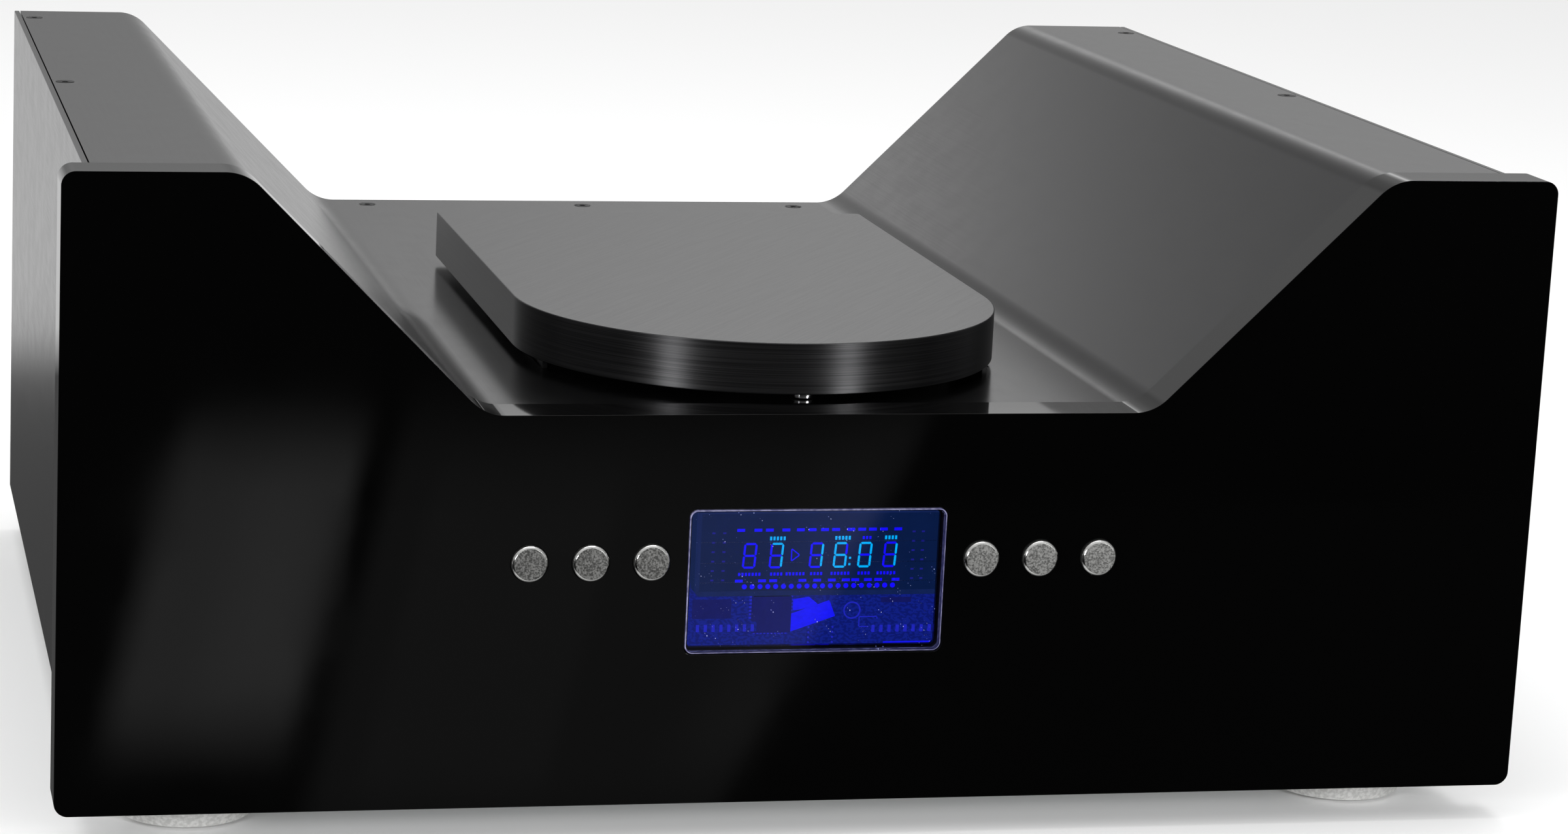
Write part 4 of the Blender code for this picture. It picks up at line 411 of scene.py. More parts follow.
class PlayerSizes(bpy.types.PropertyGroup):
    """Sizes that the frame's boxes don't give."""

    valley_floor_height: length(
        "Valley floor height", "Height of the valley's floor over the panel's bottom edge", 0.1137
    )
    valley_floor_half: length("Valley floor half width", "From the middle to the foot of a slope", 0.097)
    plateau_width: length("Plateau width", "From the panel's side to the top of a slope", 0.050)
    bend_radius: length("Bend radius", "Radius of the four bends of the valley", 0.014)
    panel_corner: length("Panel corner", "Radius of the front panel's outer corners", 0.004)
    panel_edge: length("Panel edge", "Width of the polished round on the front panel's edges", 0.0004)
    pane_corner: length("Pane corner", "Radius of the display window's corners", 0.0025)
    pane_edge: length("Pane edge", "Width of the sawn and scraped edge round the pane's face", 0.00035)
    pane_ledge: length("Pane ledge", "Width of the ledge that the pane lies against", 0.0013)
    pocket_margin: length(
        "Window pocket margin", "How far the pocket behind the window reaches past it", 0.0026
    )
    sheet: length("Cover thickness", "Thickness of the bent cover", 0.003)
    well_radius: length("Well radius", "Radius of the opening for the disc", 0.062)
    lid_edge: length("Lid edge", "Width of the round on the lid's edges", 0.0004)


class PlayerColours(bpy.types.PropertyGroup):
    """Colours of the finishes that show most."""

    acrylic: tone("Acrylic", "Black cast acrylic of the front panel", "#020202")
    anodised: tone(
        "Anodised aluminium", "Black anodised aluminium of the cover, sides and lid", "#3A3A3B"
    )
    silver: tone("Silver aluminium", "Natural anodised aluminium of the buttons and feet", "#C4C4C2")
    lit: tone("Lit segments", "Glowing segments of the display", "#00DCFF")
    # The next three colours are emitted: a painted glow of the tube's light seen through the filter
    resting: tone(
        "Resting segments", "Resting segments of the display, through its blue filter", "#1E10FF"
    )
    ground: tone("Display ground", "Inside of the display, through its blue filter", "#10284A")
    board: tone("Board behind the filter", "Control board, through its blue filter", "#142474")


class PlayerStudio(bpy.types.PropertyGroup):
    """The camera's stance and the studio's lights."""

    camera_place: bpy.props.FloatVectorProperty(
        name="Camera place", description="From the middle of the panel's bottom front edge",
        default=(-0.285, -1.064, 0.351), size=3, subtype="TRANSLATION",
    )
    yaw: angle("Yaw", "Turn of the camera to the right", 10.91)
    pitch: angle("Pitch", "Tilt of the camera downwards", 11.45)
    roll: angle("Roll", "Turn of the camera about its view", 2.12)
    lens: bpy.props.FloatProperty(
        name="Lens", description="Focal length over a sensor 36 mm wide",
        default=91.55, unit="CAMERA",
    )
    shift_x: portion("Shift across", "Sideways shift of the frame, in frame widths", 0.15)
    shift_y: portion("Shift up", "Upward shift of the frame, in frame widths", -0.041)
    backdrop: portion("Backdrop", "Brightness of the pale backdrop as the camera sees it", 1.0)
    ambient: portion("Ambient", "Brightness of the even light all round", 1.0)
    strip_power: bpy.props.FloatProperty(
        name="Strip lights", description="Power of each of the two upright strip lights",
        default=7.5, unit="POWER",
    )


def sizes():
    """The player's size settings."""
    return bpy.context.scene.player_sizes


def colours():
    """The player's colour settings."""
    return bpy.context.scene.player_colours


def studio():
    """The studio's settings."""
    return bpy.context.scene.player_studio


def add(tree, kind, inputs=(), **settings):
    """Adds a node with its settings, and gives its inputs their values or links."""
    node = tree.nodes.new(kind)
    for name, value in settings.items():
        setattr(node, name, value)
    for name, value in dict(inputs).items():
        if isinstance(value, bpy.types.NodeSocket):
            tree.links.new(value, node.inputs[name])
        else:
            node.inputs[name].default_value = value
    return node


def new_finish(name, colour, **values):
    """Starts a material, and returns it with its node tree, its shader and its Object coordinates."""
    material = bpy.data.materials.new(name)
    material.use_nodes = True
    tree = material.node_tree
    shader = tree.nodes["Principled BSDF"]
    shader.inputs["Base Color"].default_value = tuple(colour)
    for socket, value in values.items():
        shader.inputs[socket.replace("_", " ")].default_value = value
    place = add(tree, "ShaderNodeTexCoord").outputs["Object"]
    return material, tree, shader, place


def noise_over(tree, place, size, detail=2.0, turn=0):
    """Noise with grains of a real size in millimetres along X, Y and Z, turned about Z by degrees."""
    inputs = {"Vector": place, "Rotation": (0, 0, math.radians(-turn)), "Scale": [n * MM for n in size]}
    grains = add(tree, "ShaderNodeMapping", inputs, vector_type="TEXTURE").outputs["Vector"]
    inputs = {"Vector": grains, "Scale": 1.0, "Detail": detail}
    return add(tree, "ShaderNodeTexNoise", inputs).outputs["Fac"]


def spread(tree, value, low, high, start=0.35, end=0.65):
    """Maps a range of a pattern onto a range of values, with soft ends."""
    inputs = {"Value": value, "From Min": start, "From Max": end, "To Min": low, "To Max": high}
    return add(tree, "ShaderNodeMapRange", inputs, interpolation_type="SMOOTHSTEP").outputs["Result"]


def worked_out(tree, operation, *values):
    """Works several values into one with an arithmetic operation, from left to right."""
    result = values[0]
    for value in values[1:]:
        result = add(tree, "ShaderNodeMath", {0: result, 1: value}, operation=operation).outputs["Value"]
    return result


def toned(colour, factor=1.0):
    """A hex colour or a colour setting in linear values, lightened or darkened by a factor."""
    values = linear(colour) if colour.startswith("#") else getattr(colours(), colour)
    return (*[value * factor for value in tuple(values)[:3]], 1.0)


@functools.cache
def finish(name):
    """Makes a finish from its recipe, once."""
    recipe = dict(FINISHES[name])
    size, detail, turn = recipe.pop("grain"), recipe.pop("detail", 2.0), recipe.pop("turn", 0)
    varied, tints, edges = recipe.pop("varied", {}), recipe.pop("tints", ()), recipe.pop("edges", ())
    depth = recipe.pop("depth", 0)
    if "rough" in recipe:
        varied = {"Roughness": recipe.pop("rough"), **varied}
    colour = toned(recipe.pop("colour", *tints[:1]))
    material, tree, shader, place = new_finish(name, colour, **recipe)
    grain = noise_over(tree, place, size, detail, turn)
    for socket, change in varied.items():
        tree.links.new(spread(tree, grain, *change), shader.inputs[socket])
    if tints:
        share = spread(tree, grain, 0, 1, *edges) if edges else grain
        inputs = {0: share, 6: linear(tints[0]), 7: linear(tints[1])}
        mixed = add(tree, "ShaderNodeMix", inputs, data_type="RGBA")
        tree.links.new(mixed.outputs[2], shader.inputs["Base Color"])
    if depth:
        bump = add(tree, "ShaderNodeBump", {"Height": grain, "Distance": depth * MM, "Strength": 1.0})
        tree.links.new(bump.outputs["Normal"], shader.inputs["Normal"])
    if "Anisotropic" in recipe:
        upright = add(tree, "ShaderNodeCombineXYZ", {"Z": 1.0})
        tree.links.new(upright.outputs["Vector"], shader.inputs["Tangent"])
    return material


@functools.cache
def brushed_black_anodising():
    """Aluminium sheet, brushed from front to rear and dyed black: an even sheen, lines only close up."""
    material, tree, shader, place = new_finish(
        "brushed_black_anodising", toned("anodised"), Metallic=1.0, Roughness=0.2
    )
    lines = spread(tree, noise_over(tree, place, (0.4, 40, 0.4), 3.0), -0.008, 0.008)
    mottle = spread(tree, noise_over(tree, place, (9, 14, 9), 3.0), 0.192, 0.208)
    tree.links.new(worked_out(tree, "ADD", lines, mottle), shader.inputs["Roughness"])
    return material


@functools.cache
def rolled_screw_steel():
    """Lead screw with a rolled thread, which is a fine relief on the rod."""
    material, tree, shader, place = new_finish(
        "rolled_screw_steel", linear("#B9BABB"), Metallic=1.0, Roughness=0.2
    )
    inputs = {"Vector": place, "Scale": math.tau / (WAVES_PER_UNIT * THREAD_PITCH), "Distortion": 0.0}
    thread = add(tree, "ShaderNodeTexWave", inputs, bands_direction="Y").outputs["Fac"]
    bump = add(tree, "ShaderNodeBump", {"Height": thread, "Distance": THREAD_DEPTH, "Strength": 1.0})
    tree.links.new(bump.outputs["Normal"], shader.inputs["Normal"])
    return material


@functools.cache
def glowing(name):
    """A surface inside the display given emission, lightly patched: the lit phosphor's own glow, and on the others
    a painted glow of the tube's light.
    """
    colour, strength, size = GLOWS[name]
    material, tree, shader, place = new_finish(
        name, linear("#05060C"), Roughness=0.6, Specular_IOR_Level=0.0, Emission_Strength=strength
    )
    inputs = {0: noise_over(tree, place, size), 6: toned(colour, 0.8), 7: toned(colour, 1.2)}
    mixed = add(tree, "ShaderNodeMix", inputs, data_type="RGBA")
    tree.links.new(mixed.outputs[2], shader.inputs["Emission Color"])
    return material


@functools.cache
def board_in_blue_light():
    """Board of the display's driver under solder mask: a painted blue glow with broken tracks, and a painted
    shadow close to the tube.
    """
    material, tree, shader, place = new_finish(
        "board_in_blue_light", linear("#0A0C20"), Specular_IOR_Level=0.0, Emission_Strength=1.0
    )
    tracks = spread(tree, noise_over(tree, place, (1.1, 9, 0.7), 1.0), 0, 1, 0.47, 0.53)
    inputs = {0: tracks, 6: toned("board", 0.85), 7: toned("board", 1.3)}
    lit_board = add(tree, "ShaderNodeMix", inputs, data_type="RGBA").outputs[2]
    # Painted shadow: close under the tube the painted glow gives way to the ground's dark colour
    height = add(tree, "ShaderNodeSeparateXYZ", {"Vector": place}).outputs["Z"]
    low, high = (centre_of("display_window").z - below * MM for below in PAINTED_SHADOW_BELOW)
    inputs = {0: spread(tree, height, 0, 1, low, high), 6: lit_board, 7: toned("ground")}
    shaded = add(tree, "ShaderNodeMix", inputs, data_type="RGBA")
    tree.links.new(shaded.outputs[2], shader.inputs["Emission Color"])
    return material


def add_outline(mesh, corners, radii):
    """Adds a flat face, whose round corners are drawn by turning a point about each arc's centre."""
    runs = []
    for index, (corner, radius) in enumerate(zip(corners, radii)):
        start = mesh.verts.new(corner)
        last = start
        if radius > 0:
            before = (corners[index - 1] - corner).normalized()
            after = (corners[(index + 1) % len(corners)] - corner).normalized()
            half = before.angle(after) / 2
            centre = corner + (before + after).normalized() * radius / math.sin(half)
            start.co = corner + before * radius / math.tan(half)
            turn = math.pi - 2 * half
            last = bmesh.ops.spin(
                mesh,
                geom=[start],
                cent=centre,
                axis=after.cross(before),
                angle=turn,
                steps=max(2, math.ceil(turn / ARC_STEP)),
            )["geom_last"][0]
        runs.append((start, last))
    for (start, _), (_, last) in zip(runs, runs[-1:] + runs[:-1]):
        mesh.edges.new((last, start))
    edges = {edge for start, last in runs for vert in (start, last) for edge in vert.link_edges}
    loop = list(edges)
    seen = set(edges)
    for edge in loop:
        for vert in edge.verts:
            for other in vert.link_edges:
                if other not in seen:
                    seen.add(other)
                    loop.append(other)
    return bmesh.ops.contextual_create(mesh, geom=loop)["faces"][0]


def add_plate(mesh, corners, radii, push):
    """Adds a plate: an outline pushed along a vector. One radius may stand for all corners."""
    if not isinstance(radii, (list, tuple)):
        radii = [radii] * len(corners)
    face = add_outline(mesh, corners, radii)
    grown = bmesh.ops.extrude_face_region(mesh, geom=[face])["geom"]
    moved = [item for item in grown if isinstance(item, bmesh.types.BMVert)]
    bmesh.ops.translate(mesh, vec=push, verts=moved)


def add_block(mesh, low, high):
    """Adds a box between two opposite corners."""
    low, high = Vector(low), Vector(high)
    verts = bmesh.ops.create_cube(mesh, size=1)["verts"]
    size = [abs(length) for length in high - low]
    bmesh.ops.scale(mesh, vec=size, verts=verts)
    bmesh.ops.translate(mesh, vec=(low + high) / 2, verts=verts)
    return verts


def add_turned(mesh, profile, place, axis=(0, 0, 1), steps=ROUND_STEPS):
    """Adds a profile of radius and height, spun about an axis through a place."""
    verts = [mesh.verts.new((radius, 0, height)) for radius, height in profile]
    pairs = list(zip(verts, verts[1:]))
    if profile[0][0] > 0:
        pairs.append((verts[-1], verts[0]))
    edges = [mesh.edges.new(pair) for pair in pairs]
    before = set(mesh.verts)
    bmesh.ops.spin(
        mesh, geom=verts + edges, cent=(0, 0, 0), axis=(0, 0, 1), angle=math.tau, steps=steps, use_merge=True
    )
    spun = [vert for vert in mesh.verts if vert not in before] + verts
    matrix = Vector((0, 0, 1)).rotation_difference(Vector(axis)).to_matrix()
    bmesh.ops.rotate(mesh, cent=(0, 0, 0), matrix=matrix, verts=spun)
    bmesh.ops.translate(mesh, vec=place, verts=spun)
    bmesh.ops.remove_doubles(mesh, verts=spun, dist=MERGE_DISTANCE)


def add_rod(mesh, start, axis, length, radius, steps=ROUND_STEPS):
    """Adds a cylinder that starts at a point and runs along an axis."""
    add_turned(mesh, [(0, 0), (radius, 0), (radius, length), (0, length)], start, axis, steps)


def stand_in(mesh):
    """Links a mesh under construction as an object, for a Boolean to read."""
    bmesh.ops.recalc_face_normals(mesh, faces=mesh.faces)
    data = bpy.data.meshes.new("construction")
    mesh.to_mesh(data)
    mesh.free()
    item = bpy.data.objects.new("construction", data)
    bpy.context.scene.collection.objects.link(item)
    return item


def combined(mesh, tool, operation="DIFFERENCE"):
    """Cuts one closed mesh by another, or unites them, and returns the result."""
    items = [stand_in(mesh), stand_in(tool)]
    modifier = items[0].modifiers.new("boolean", "BOOLEAN")
    modifier.operation = operation
    modifier.solver = "EXACT"
    modifier.object = items[1]
    result = bmesh.new()
    result.from_object(items[0], bpy.context.evaluated_depsgraph_get())
    for item in items:
        data = item.data
        bpy.data.objects.remove(item)
        bpy.data.meshes.remove(data)
    if not result.faces:
        raise RuntimeError("a cut left nothing over")
    return result


def soften(item, width, steps=3):
    """Rounds a piece's sharp edges and evens the shading of its flat faces."""
    bevel = item.modifiers.new("edges", "BEVEL")
    bevel.width = width
    bevel.segments = steps
    bevel.limit_method = "ANGLE"
    bevel.angle_limit = EDGE_ANGLE
    item.modifiers.new("shading", "WEIGHTED_NORMAL")
    return bevel


def piece(name, mesh, finishes, node, replaces=True, edge=0.0, steps=3):
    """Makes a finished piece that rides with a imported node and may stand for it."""
    if not isinstance(finishes, (list, tuple)):
        finishes = [finishes]
    bmesh.ops.recalc_face_normals(mesh, faces=mesh.faces)
    data = bpy.data.meshes.new(name)
    mesh.to_mesh(data)
    mesh.free()
    data.shade_smooth()
    item = bpy.data.objects.new(name, data)
    bpy.context.scene.collection.objects.link(item)
    for material in finishes:
        data.materials.append(material)
    if edge:
        soften(item, edge, steps)
    else:
        data.set_sharp_from_angle(angle=EDGE_ANGLE)
    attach(item, BODY_OF[node])
    if replaces:
        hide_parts(node)
    return item


def dress(pattern, material, edge):
    """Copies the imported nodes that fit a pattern, merges their loose triangles and rounds their edges."""
    for node in nodes_like(pattern):
        mesh = bmesh.new()
        mesh.from_mesh(frame["nodes"][node].data)
        bmesh.ops.remove_doubles(mesh, verts=mesh.verts, dist=MERGE_DISTANCE)
        bmesh.ops.dissolve_limit(mesh, angle_limit=FLAT_ANGLE, verts=mesh.verts, edges=mesh.edges)
        piece(f"{node}_finished", mesh, material, node, edge=edge, steps=2)


def rectangle(low_x, high_x, low_z, high_z, y):
    """Corners of an upright rectangle at a depth."""
    places = ((low_x, low_z), (high_x, low_z), (high_x, high_z), (low_x, high_z))
    return [Vector((x, y, z)) for x, z in places]


def valley_line(half, drop, y):
    """Corners of the player's top line over a half width, lowered square to itself by a drop."""
    low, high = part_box("front_panel")
    floor_z = low.z + sizes().valley_floor_height
    floor_half = sizes().valley_floor_half
    top_half = high.x - sizes().plateau_width
    slope = math.atan2(high.z - floor_z, top_half - floor_half)
    widening = drop * math.tan(slope / 2)
    right = [
        (floor_half + widening, floor_z - drop), (top_half + widening, high.z - drop),
        (half, high.z - drop),
    ]
    points = [(-x, z) for x, z in reversed(right)] + right
    return [Vector((x, y, z)) for x, z in points]


def valley_radii(end, drop):
    """Radius of each corner of the lowered top line."""
    outer = sizes().bend_radius - drop
    inner = sizes().bend_radius + drop
    return [end, outer, inner, inner, outer, end]


def centre_of(node):
    """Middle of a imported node's box."""
    low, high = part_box(node)
    return (low + high) / 2


def nodes_like(pattern):
    """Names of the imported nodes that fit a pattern, in order."""
    return sorted(fnmatch.filter(BODY_OF, pattern))


def painted(mesh, index, test):
    """Gives the faces that pass a test another of the piece's materials."""
    mesh.normal_update()
    for face in mesh.faces:
        if test(face):
            face.material_index = index


def turned_piece(name, node, profile, finishes, axis=(0, 0, 1), **settings):
    """Makes a piece by turning a profile of radius and height about an axis through a node's middle."""
    place = centre_of(node)
    for index in range(3):
        if axis[index]:
            place[index] = 0
    mesh = bmesh.new()
    add_turned(mesh, profile, place, axis, settings.pop("around", ROUND_STEPS))
    painted(mesh, 1, settings.pop("second_where", lambda face: False))
    return piece(name, mesh, finishes, node, **settings)


def grown_rectangle(node, margin, y):
    """Corners of a node's front view, grown by a margin, at a depth."""
    low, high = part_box(node)
    return rectangle(low.x - margin, high.x + margin, low.z - margin, high.z + margin, y)


def in_window(x, z, y):
    """A place given in millimetres from the middle of the window, at a depth."""
    middle = centre_of("display_window")
    return Vector((middle.x + x * MM, y, middle.z + z * MM))


def add_mark(mesh, places, y, thickness=MARK_DEPTH):
    """Adds a flat mark that stands proud of a depth, from its corners in millimetres."""
    corners = [in_window(x, z, y - thickness) for x, z in places]
    add_plate(mesh, corners, 0, (0, thickness, 0))


def add_stroke(mesh, start, end, y, width=STROKE):
    """Adds a straight stroke with pointed ends between two points."""
    start, end = Vector(start), Vector(end)
    along = (end - start).normalized()
    across = Vector((-along.y, along.x)) * width / 2
    tip, shoulder = along * width * 0.15, along * width * 0.65
    outline = (
        start + tip,
        start + shoulder - across,
        end - shoulder - across,
        end - tip,
        end - shoulder + across,
        start + shoulder + across,
    )
    add_mark(mesh, outline, y)


def add_bar(mesh, x, z, width, height, y, thickness=MARK_DEPTH):
    """Adds an upright rectangle, given by its middle and its size."""
    left, right = x - width / 2, x + width / 2
    bottom, top = z - height / 2, z + height / 2
    add_mark(mesh, ((left, bottom), (right, bottom), (right, top), (left, top)), y, thickness)


def add_ticks(mesh, row, y):
    """Adds a row of upright ticks round a middle."""
    middle, z, count, height = row
    for index in range(count):
        add_bar(mesh, middle + (index - (count - 1) / 2) * TICK_STEP, z, TICK_WIDTH, height, y)


def add_digits(lit, resting, y):
    """Adds the slanted seven-segment digits, each segment to the lit or to the resting marks."""
    for middle, lit_segments in DIGITS:
        for segment, ends in SEGMENT_LINES.items():
            placed = []
            for across, up in ends:
                rise = up * DIGIT_HEIGHT
                placed.append((middle + across * DIGIT_WIDTH + rise * SLANT, DIGIT_Z + rise))
            add_stroke(lit if segment in lit_segments else resting, *placed, y)


def add_chip(bodies, metal, front):
    """Adds the driver chip with leads on its four sides."""
    low, high = (in_window(x, z, front) for x, z in CHIP_CORNERS)
    add_block(bodies, (low.x, front - CHIP_THICKNESS, low.z), (high.x, front, high.z))
    step = (high.x - low.x) / (CHIP_LEADS + 1)
    half = step / 4
    lead_front = front - LEAD_THICKNESS
    for index in range(1, CHIP_LEADS + 1):
        x, z = low.x + index * step, low.z + index * step
        for start in (low.z - LEAD_REACH, high.z):
            add_block(metal, (x - half, lead_front, start), (x + half, front, start + LEAD_REACH))
        for start in (low.x - LEAD_REACH, high.x):
            add_block(metal, (start, lead_front, z - half), (start + LEAD_REACH, front, z + half))


def studio_world():
    """An even pale room for diffuse light, and softboxes that only reflections show."""
    scene = bpy.context.scene
    scene.world = bpy.data.worlds.new("studio")
    scene.world.use_nodes = True
    tree = scene.world.node_tree
    tree.nodes.clear()
    direction = add(tree, "ShaderNodeTexCoord").outputs["Generated"]
    axes = add(tree, "ShaderNodeSeparateXYZ", {"Vector": direction}).outputs
    elevation = add(tree, "ShaderNodeMath", {0: axes["Z"]}, operation="ARCSINE").outputs["Value"]
    right_angles = worked_out(tree, "DIVIDE", elevation, math.pi)
    share = worked_out(tree, "ADD", right_angles, 0.5)
    levels = []
    for stops in (FRONT_BRIGHTNESS, REAR_BRIGHTNESS):
        ramp = add(tree, "ShaderNodeValToRGB", {"Fac": share})
        levels.append(ramp.outputs["Color"])
        elements = ramp.color_ramp.elements
        while len(elements) < len(stops):
            elements.new(1.0)
        for element, (degrees, level) in zip(elements, stops):
            element.position = (degrees + 90) / 180
            element.color = (level, level, level, 1.0)
    behind = spread(tree, axes["Y"], 0.0, 1.0, -0.2, 0.1)
    sideways = worked_out(tree, "DIVIDE", axes["X"], axes["Y"])
    tilt = worked_out(tree, "ADD", *[spread(tree, sideways, *change) for change in REAR_TILTS])
    above = spread(tree, axes["Z"], 0.0, 1.0, -0.02, 0.04)
    tilt = worked_out(tree, "ADD", worked_out(tree, "MULTIPLY", tilt, above), 1.0)
    levels[1] = worked_out(tree, "MULTIPLY", levels[1], tilt)
    shown = add(tree, "ShaderNodeMix", {0: behind, 2: levels[0], 3: levels[1]}).outputs[0]
    shown = worked_out(tree, "ADD", shown, mirrored_by_panel(tree, axes))
    rays = add(tree, "ShaderNodeLightPath").outputs
    mirrored = worked_out(tree, "MAXIMUM", rays["Is Glossy Ray"], rays["Is Transmission Ray"])
    seen = add(tree, "ShaderNodeMix", {0: mirrored, 2: studio().ambient, 3: shown})
    seen = add(tree, "ShaderNodeMix", {0: rays["Is Camera Ray"], 2: seen.outputs[0], 3: studio().backdrop})
    background = add(tree, "ShaderNodeBackground", {"Strength": seen.outputs[0]})
    output = add(tree, "ShaderNodeOutputWorld")
    tree.links.new(background.outputs["Background"], output.inputs["Surface"])


def mirrored_by_panel(tree, axes):
    """Softboxes before the player, laid out by where the front panel mirrors them to the camera."""
    camera = Vector(studio().camera_place)
    ahead = worked_out(tree, "MAXIMUM", worked_out(tree, "MULTIPLY", axes["Y"], -1.0), 0.05)
    places = []
    for axis, start in (("X", camera.x), ("Z", camera.z)):
        slope = worked_out(tree, "DIVIDE", axes[axis], ahead)
        scaled = worked_out(tree, "MULTIPLY", slope, -camera.y / MM)
        places.append(worked_out(tree, "ADD", scaled, start / MM))
    across, up = places
    bands = [PANEL_GLEAM]
    for left, right, bottom, top, level in PANEL_BANDS:
        edges = []
        for (slope, start, end), goes_up in ((left, True), (right, False)):
            leaning = worked_out(tree, "SUBTRACT", across, worked_out(tree, "MULTIPLY", up, slope))
            edges.append(spread(tree, leaning, 1 - goes_up, goes_up, start, end))
        edges.append(spread(tree, up, 0, 1, *bottom))
        edges.append(spread(tree, up, 1, 0, *top))
        bands.append(worked_out(tree, "MULTIPLY", *edges, level))
    total = worked_out(tree, "ADD", *bands[1:], bands[0])
    return worked_out(tree, "MULTIPLY", total, spread(tree, axes["Y"], 1.0, 0.0, -0.6, -0.3))


def pale_floor():
    """A wide pale floor."""
    mesh = bmesh.new()
    bmesh.ops.create_circle(mesh, cap_ends=True, segments=96, radius=FLOOR_RADIUS)
    data = bpy.data.meshes.new("floor")
    mesh.to_mesh(data)
    mesh.free()
    floor = bpy.data.objects.new("floor", data)
    bpy.context.scene.collection.objects.link(floor)
    material, tree, shader, place = new_finish(
        "pale_paper", linear("#FEFEFE"), Roughness=1.0, Specular_IOR_Level=0.0
    )
    data.materials.append(material)
    floor.visible_glossy = False
    floor.visible_transmission = False


def area_light(name, place, target, width, height, power):
    """A soft rectangular light that faces a target."""
    data = bpy.data.lights.new(name, "AREA")
    data.shape = "RECTANGLE"
    data.size = width
    data.size_y = height
    data.energy = power
    light = bpy.data.objects.new(name, data)
    place = Vector(place)
    turn = (place - Vector(target)).to_track_quat("Z", "Y").to_matrix().to_4x4()
    light.matrix_world = Matrix.Translation(place) @ turn
    light.visible_camera = False
    bpy.context.scene.collection.objects.link(light)


class PLAYER_OT_front_panel(bpy.types.Operator):
    """Cut the thick acrylic panel with its window, its pocket and its button holes."""

    bl_idname = "player.front_panel"
    bl_label = "Front Panel"

    def execute(self, context):
        low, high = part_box("front_panel")
        corners = valley_line(high.x, 0, low.y)
        corners += [Vector((high.x, low.y, low.z)), Vector((low.x, low.y, low.z))]
        radii = valley_radii(sizes().panel_corner, 0) + [sizes().panel_corner] * 2
        panel = bmesh.new()
        add_plate(panel, corners, radii, (0, high.y - low.y, 0))
        pane_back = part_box("display_window")[1].y + JOINT_GAP
        ledge_back = pane_back + WINDOW_LEDGE_THICKNESS
        ledge = sizes().pane_ledge
        levels = (
            (JOINT_GAP, low.y - OVERRUN, pane_back, sizes().pane_corner),
            (-ledge, low.y, high.y, sizes().pane_corner - ledge),
            (sizes().pocket_margin, ledge_back, high.y + OVERRUN, sizes().pane_corner),
        )
        for margin, start, end, radius in levels:
            tool = bmesh.new()
            window = grown_rectangle("display_window", margin, start)
            add_plate(tool, window, radius, (0, end - start, 0))
            panel = combined(panel, tool)
        holes = bmesh.new()
        for node in nodes_like("button_*"):
            middle = centre_of(node)
            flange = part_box(node)[1].x - middle.x + JOINT_GAP
            bore = flange - BUTTON_FLANGE_WIDTH
            pocket = high.y - BUTTON_POCKET_DEPTH
            profile = [
                (0, low.y - OVERRUN), (bore, low.y - OVERRUN), (bore, pocket), (flange, pocket),
                (flange, high.y + OVERRUN), (0, high.y + OVERRUN),
            ]
            add_turned(holes, profile, (middle.x, 0, middle.z), (0, 1, 0))
        panel = combined(panel, holes)
        acrylic = finish("polished_black_acrylic")
        piece("front_panel_polished", panel, acrylic, "front_panel", edge=sizes().panel_edge)
        return {"FINISHED"}


class PLAYER_OT_display_window(bpy.types.Operator):
    """Cut the blue pane, with a scraped edge round its face."""

    bl_idname = "player.display_window"
    bl_label = "Display Window"

    def execute(self, context):
        low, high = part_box("display_window")
        pane = bmesh.new()
        outline = grown_rectangle("display_window", 0, low.y)
        add_plate(pane, outline, sizes().pane_corner, (0, high.y - low.y, 0))
        painted(pane, 1, lambda face: abs(face.normal.y) < 0.5)
        finishes = [finish("blue_filter_acrylic"), finish("scraped_pane_edge")]
        item = piece(
            "display_window_pane", pane, finishes, "display_window", edge=sizes().pane_edge, steps=1
        )
        item.modifiers["edges"].material = 1
        return {"FINISHED"}


